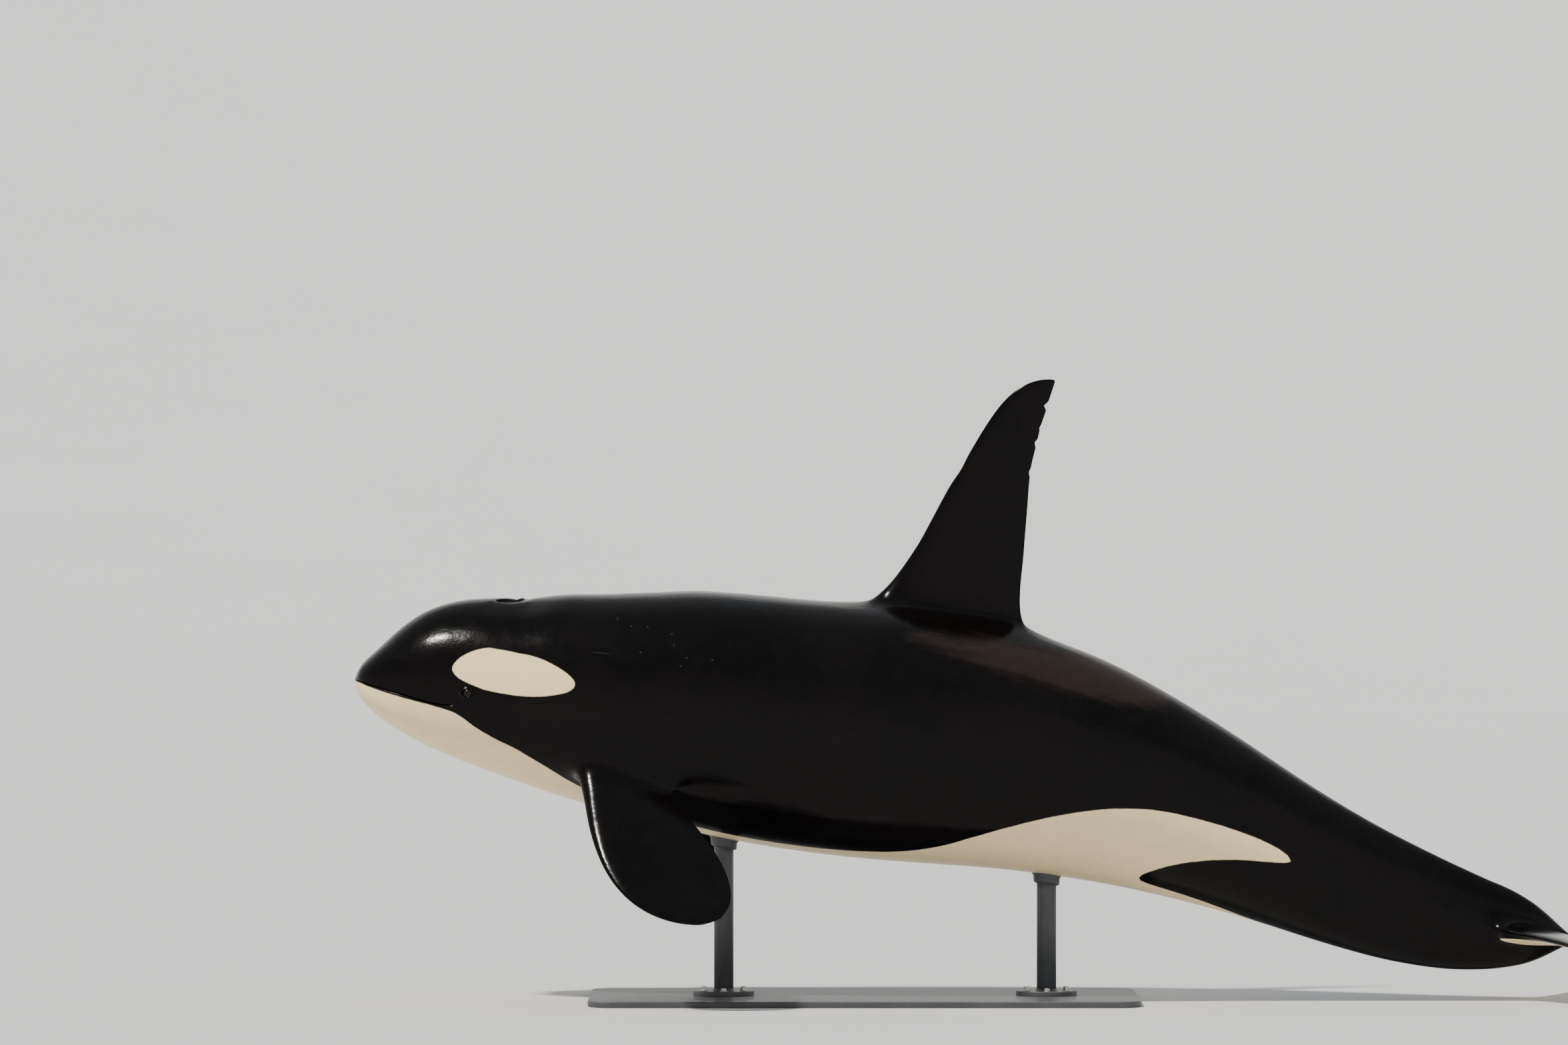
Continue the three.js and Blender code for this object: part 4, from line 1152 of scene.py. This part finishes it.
class ORCA_OT_stand(bpy.types.Operator):
    """Finishes the stand: its base plate, and two posts with feet, bolts and collars."""

    bl_idname = "orca.stand"
    bl_label = "Stand"

    def execute(self, context):
        look = context.scene.orca_stand
        steel, zinc = steel_finish(look), bolt_finish()
        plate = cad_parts["stand_base"]
        plate.data.materials.clear()
        plate.data.materials.append(steel)
        for name in ("front", "rear"):
            self.make_post(name, steel)
            self.make_foot(name, steel)
            self.make_bolts(name, look.bolt, zinc)
        return {"FINISHED"}

    def make_post(self, name, steel):
        """A rod up to the belly, where a collar follows the skin all round."""
        skin = bpy.data.objects["orca_skin"]
        x, radius, bottom, _ = upright("stand_rod_" + name)
        neck = skin.ray_cast(Vector((x, 0, bottom)), UP)[1].z - NECK
        bm = bmesh.new()
        lathe(bm, [(0, bottom), (radius - EDGE, bottom), (radius, bottom + EDGE), (radius, neck)], x)
        top = [v for v in bm.verts if abs(v.co.z - neck) < 1e-5]
        top.sort(key=lambda v: math.atan2(v.co.y, v.co.x - x))
        for wider, lift in COLLAR:
            places = []
            for v in top:
                turn = math.atan2(v.co.y, v.co.x - x)
                reach = radius + wider
                spot = Vector((x + reach * math.cos(turn), reach * math.sin(turn), bottom))
                places.append((spot.x, spot.y, skin.ray_cast(spot, UP)[1].z + lift))
            top = extrude_loop(bm, top, places)
        close(bm, top)
        post = from_bmesh("stand_post_" + name, bm, steel)
        shade_smooth(post.data)
        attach(post, "root")
        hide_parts("stand_rod_" + name)

    def make_foot(self, name, steel):
        """A round flange with eased edges, and a weld round the rod."""
        x, radius, bottom, top = upright("stand_foot_" + name)
        rod_radius = upright("stand_rod_" + name)[1]
        bm = bmesh.new()
        rim = [(0, bottom), (radius - 0.001, bottom), (radius, bottom + 0.001), (radius, top - EDGE),
               (radius - EDGE * 0.3, top - EDGE * 0.3), (radius - EDGE, top)]
        weld = [(rod_radius + wider, top + lift) for wider, lift in WELD]
        lathe(bm, rim + weld + [(0, top + 0.0002)], x, 96)
        foot = from_bmesh("stand_flange_" + name, bm, steel)
        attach(foot, "root")
        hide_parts("stand_foot_" + name)

    def make_bolts(self, name, flats, zinc):
        """Bolts with washers, in a ring on the foot, each turned its own way."""
        x, _, _, top = upright("stand_foot_" + name)
        bm = bmesh.new()
        for k in range(BOLTS):
            turn = math.radians(30 + 360 / BOLTS * k)
            spot = Vector((x + BOLT_RING * math.cos(turn), BOLT_RING * math.sin(turn), top))
            for segments, share, tall, lift in BOLT_PARTS:
                place = Matrix.Translation(spot + Vector((0, 0, lift + tall / 2)))
                made = bmesh.ops.create_cone(
                    bm, cap_ends=True, segments=segments, radius1=flats * share, radius2=flats * share,
                    depth=tall, matrix=place @ Matrix.Rotation(0.3 * k, 4, "Z"),
                )["verts"]
                rims = {e for v in made for e in v.link_edges if any(len(f.verts) > 4 for f in e.link_faces)}
                bmesh.ops.bevel(
                    bm, geom=list(rims), affect="EDGES", offset=0.0012, segments=2, profile=0.5, material=-1
                )
        bolts = from_bmesh("stand_bolts_" + name, bm, zinc)
        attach(bolts, "root")


# The stage. The camera looks so far down that the horizon lies some pixels above the middle of the photo.
BOWL = {"flat": 30, "reach": 200, "rise": 150}
SKY = {"colour": (0.86, 0.92, 1), "strength": 0.55}
SUN = {"place": (-4.8, -3.3, 8.2), "colour": (1, 0.95, 0.88), "strength": 4.2, "spread": 4}
CAMERA = {"behind_snout": 2.112, "below_fin": 0.397, "horizon_pixels": 93, "lens_pixels": 13066.7}


def floor_finish(look):
    finish = Finish("studio_floor", Roughness=0.9, Specular_IOR_Level=0.1)
    cloud = finish.noise(finish.place(), 0.35, 3)
    finish.set(Base_Color=finish.blend(cloud.step(0.3, 0.7), shade(look.floor, 0.985), shade(look.floor)))
    return finish.material


class ORCA_OT_stage(bpy.types.Operator):
    """Lays the floor with its backdrop, and sets up the light and the camera."""

    bl_idname = "orca.stage"
    bl_label = "Stage"

    def execute(self, context):
        look = context.scene.orca_stage
        self.lay_floor(look)
        self.light(context)
        self.place_camera(context, look)
        return {"FINISHED"}

    def lay_floor(self, look):
        """A round floor that rises far out into a bowl."""
        bm = bmesh.new()
        flat, reach, rise = (BOWL[k] for k in ("flat", "reach", "rise"))
        wall = [(flat + (reach - flat) * t, rise * t * t) for t in (k / 20 for k in range(21))]
        lathe(bm, [(0, 0), *wall], 0, 96)
        floor = from_bmesh("studio_floor", bm, floor_finish(look))
        shade_smooth(floor.data)

    def light(self, context):
        """An even sky, and a sun from the left and above."""
        world = bpy.data.worlds.new("studio")
        context.scene.world = world
        world.use_nodes = True
        sky = world.node_tree.nodes["Background"]
        sky.inputs["Color"].default_value = shade(SKY["colour"])
        sky.inputs["Strength"].default_value = SKY["strength"]
        data = bpy.data.lights.new("key", "SUN")
        data.energy, data.angle, data.color = SUN["strength"], math.radians(SUN["spread"]), SUN["colour"]
        key = bpy.data.objects.new("key", data)
        key.location = SUN["place"]
        key.rotation_euler = (-key.location).to_track_quat("-Z", "Y").to_euler()
        context.scene.collection.objects.link(key)

    def place_camera(self, context, look):
        data = bpy.data.cameras.new("camera")
        data.lens, data.sensor_width = look.lens, 36
        data.clip_start, data.clip_end = 1, 500
        camera = bpy.data.objects.new("camera", data)
        snout_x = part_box("head")[0].x
        fin_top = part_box("dorsal_fin")[1].z
        camera.location = (snout_x + CAMERA["behind_snout"], -look.distance, fin_top - CAMERA["below_fin"])
        down = math.atan(CAMERA["horizon_pixels"] / CAMERA["lens_pixels"])
        camera.rotation_euler = (math.radians(90) - down, 0, 0)
        context.scene.collection.objects.link(camera)
        context.scene.camera = camera


class ORCA_PT_panel(bpy.types.Panel):
    """Lists the settings and the steps of the model."""

    bl_label = "Orca Model"
    bl_idname = "ORCA_PT_panel"
    bl_space_type = "VIEW_3D"
    bl_region_type = "UI"
    bl_category = "Orca"

    def draw(self, context):
        for settings, (_, operator) in PARTS.items():
            box = self.layout.box()
            group = getattr(context.scene, settings)
            for name in group.__annotations__:
                box.prop(group, name)
            box.operator(operator.bl_idname)


PARTS = {
    "orca_skin": (OrcaSkinSettings, ORCA_OT_skin),
    "orca_eyes": (OrcaEyeSettings, ORCA_OT_eyes),
    "orca_stand": (OrcaStandSettings, ORCA_OT_stand),
    "orca_stage": (OrcaStageSettings, ORCA_OT_stage),
}
CLASSES = (*(cls for pair in PARTS.values() for cls in pair), ORCA_PT_panel)


def register():
    for cls in CLASSES:
        bpy.utils.register_class(cls)
    for name, (settings, _) in PARTS.items():
        setattr(bpy.types.Scene, name, bpy.props.PointerProperty(type=settings))


def unregister():
    for name in PARTS:
        delattr(bpy.types.Scene, name)
    for cls in reversed(CLASSES):
        bpy.utils.unregister_class(cls)


def main():
    """Builds the model in its order."""
    register()
    bpy.ops.orca.skin()
    bpy.ops.orca.eyes()
    bpy.ops.orca.stand()
    bpy.ops.orca.stage()


if __name__ == "__main__":
    main()
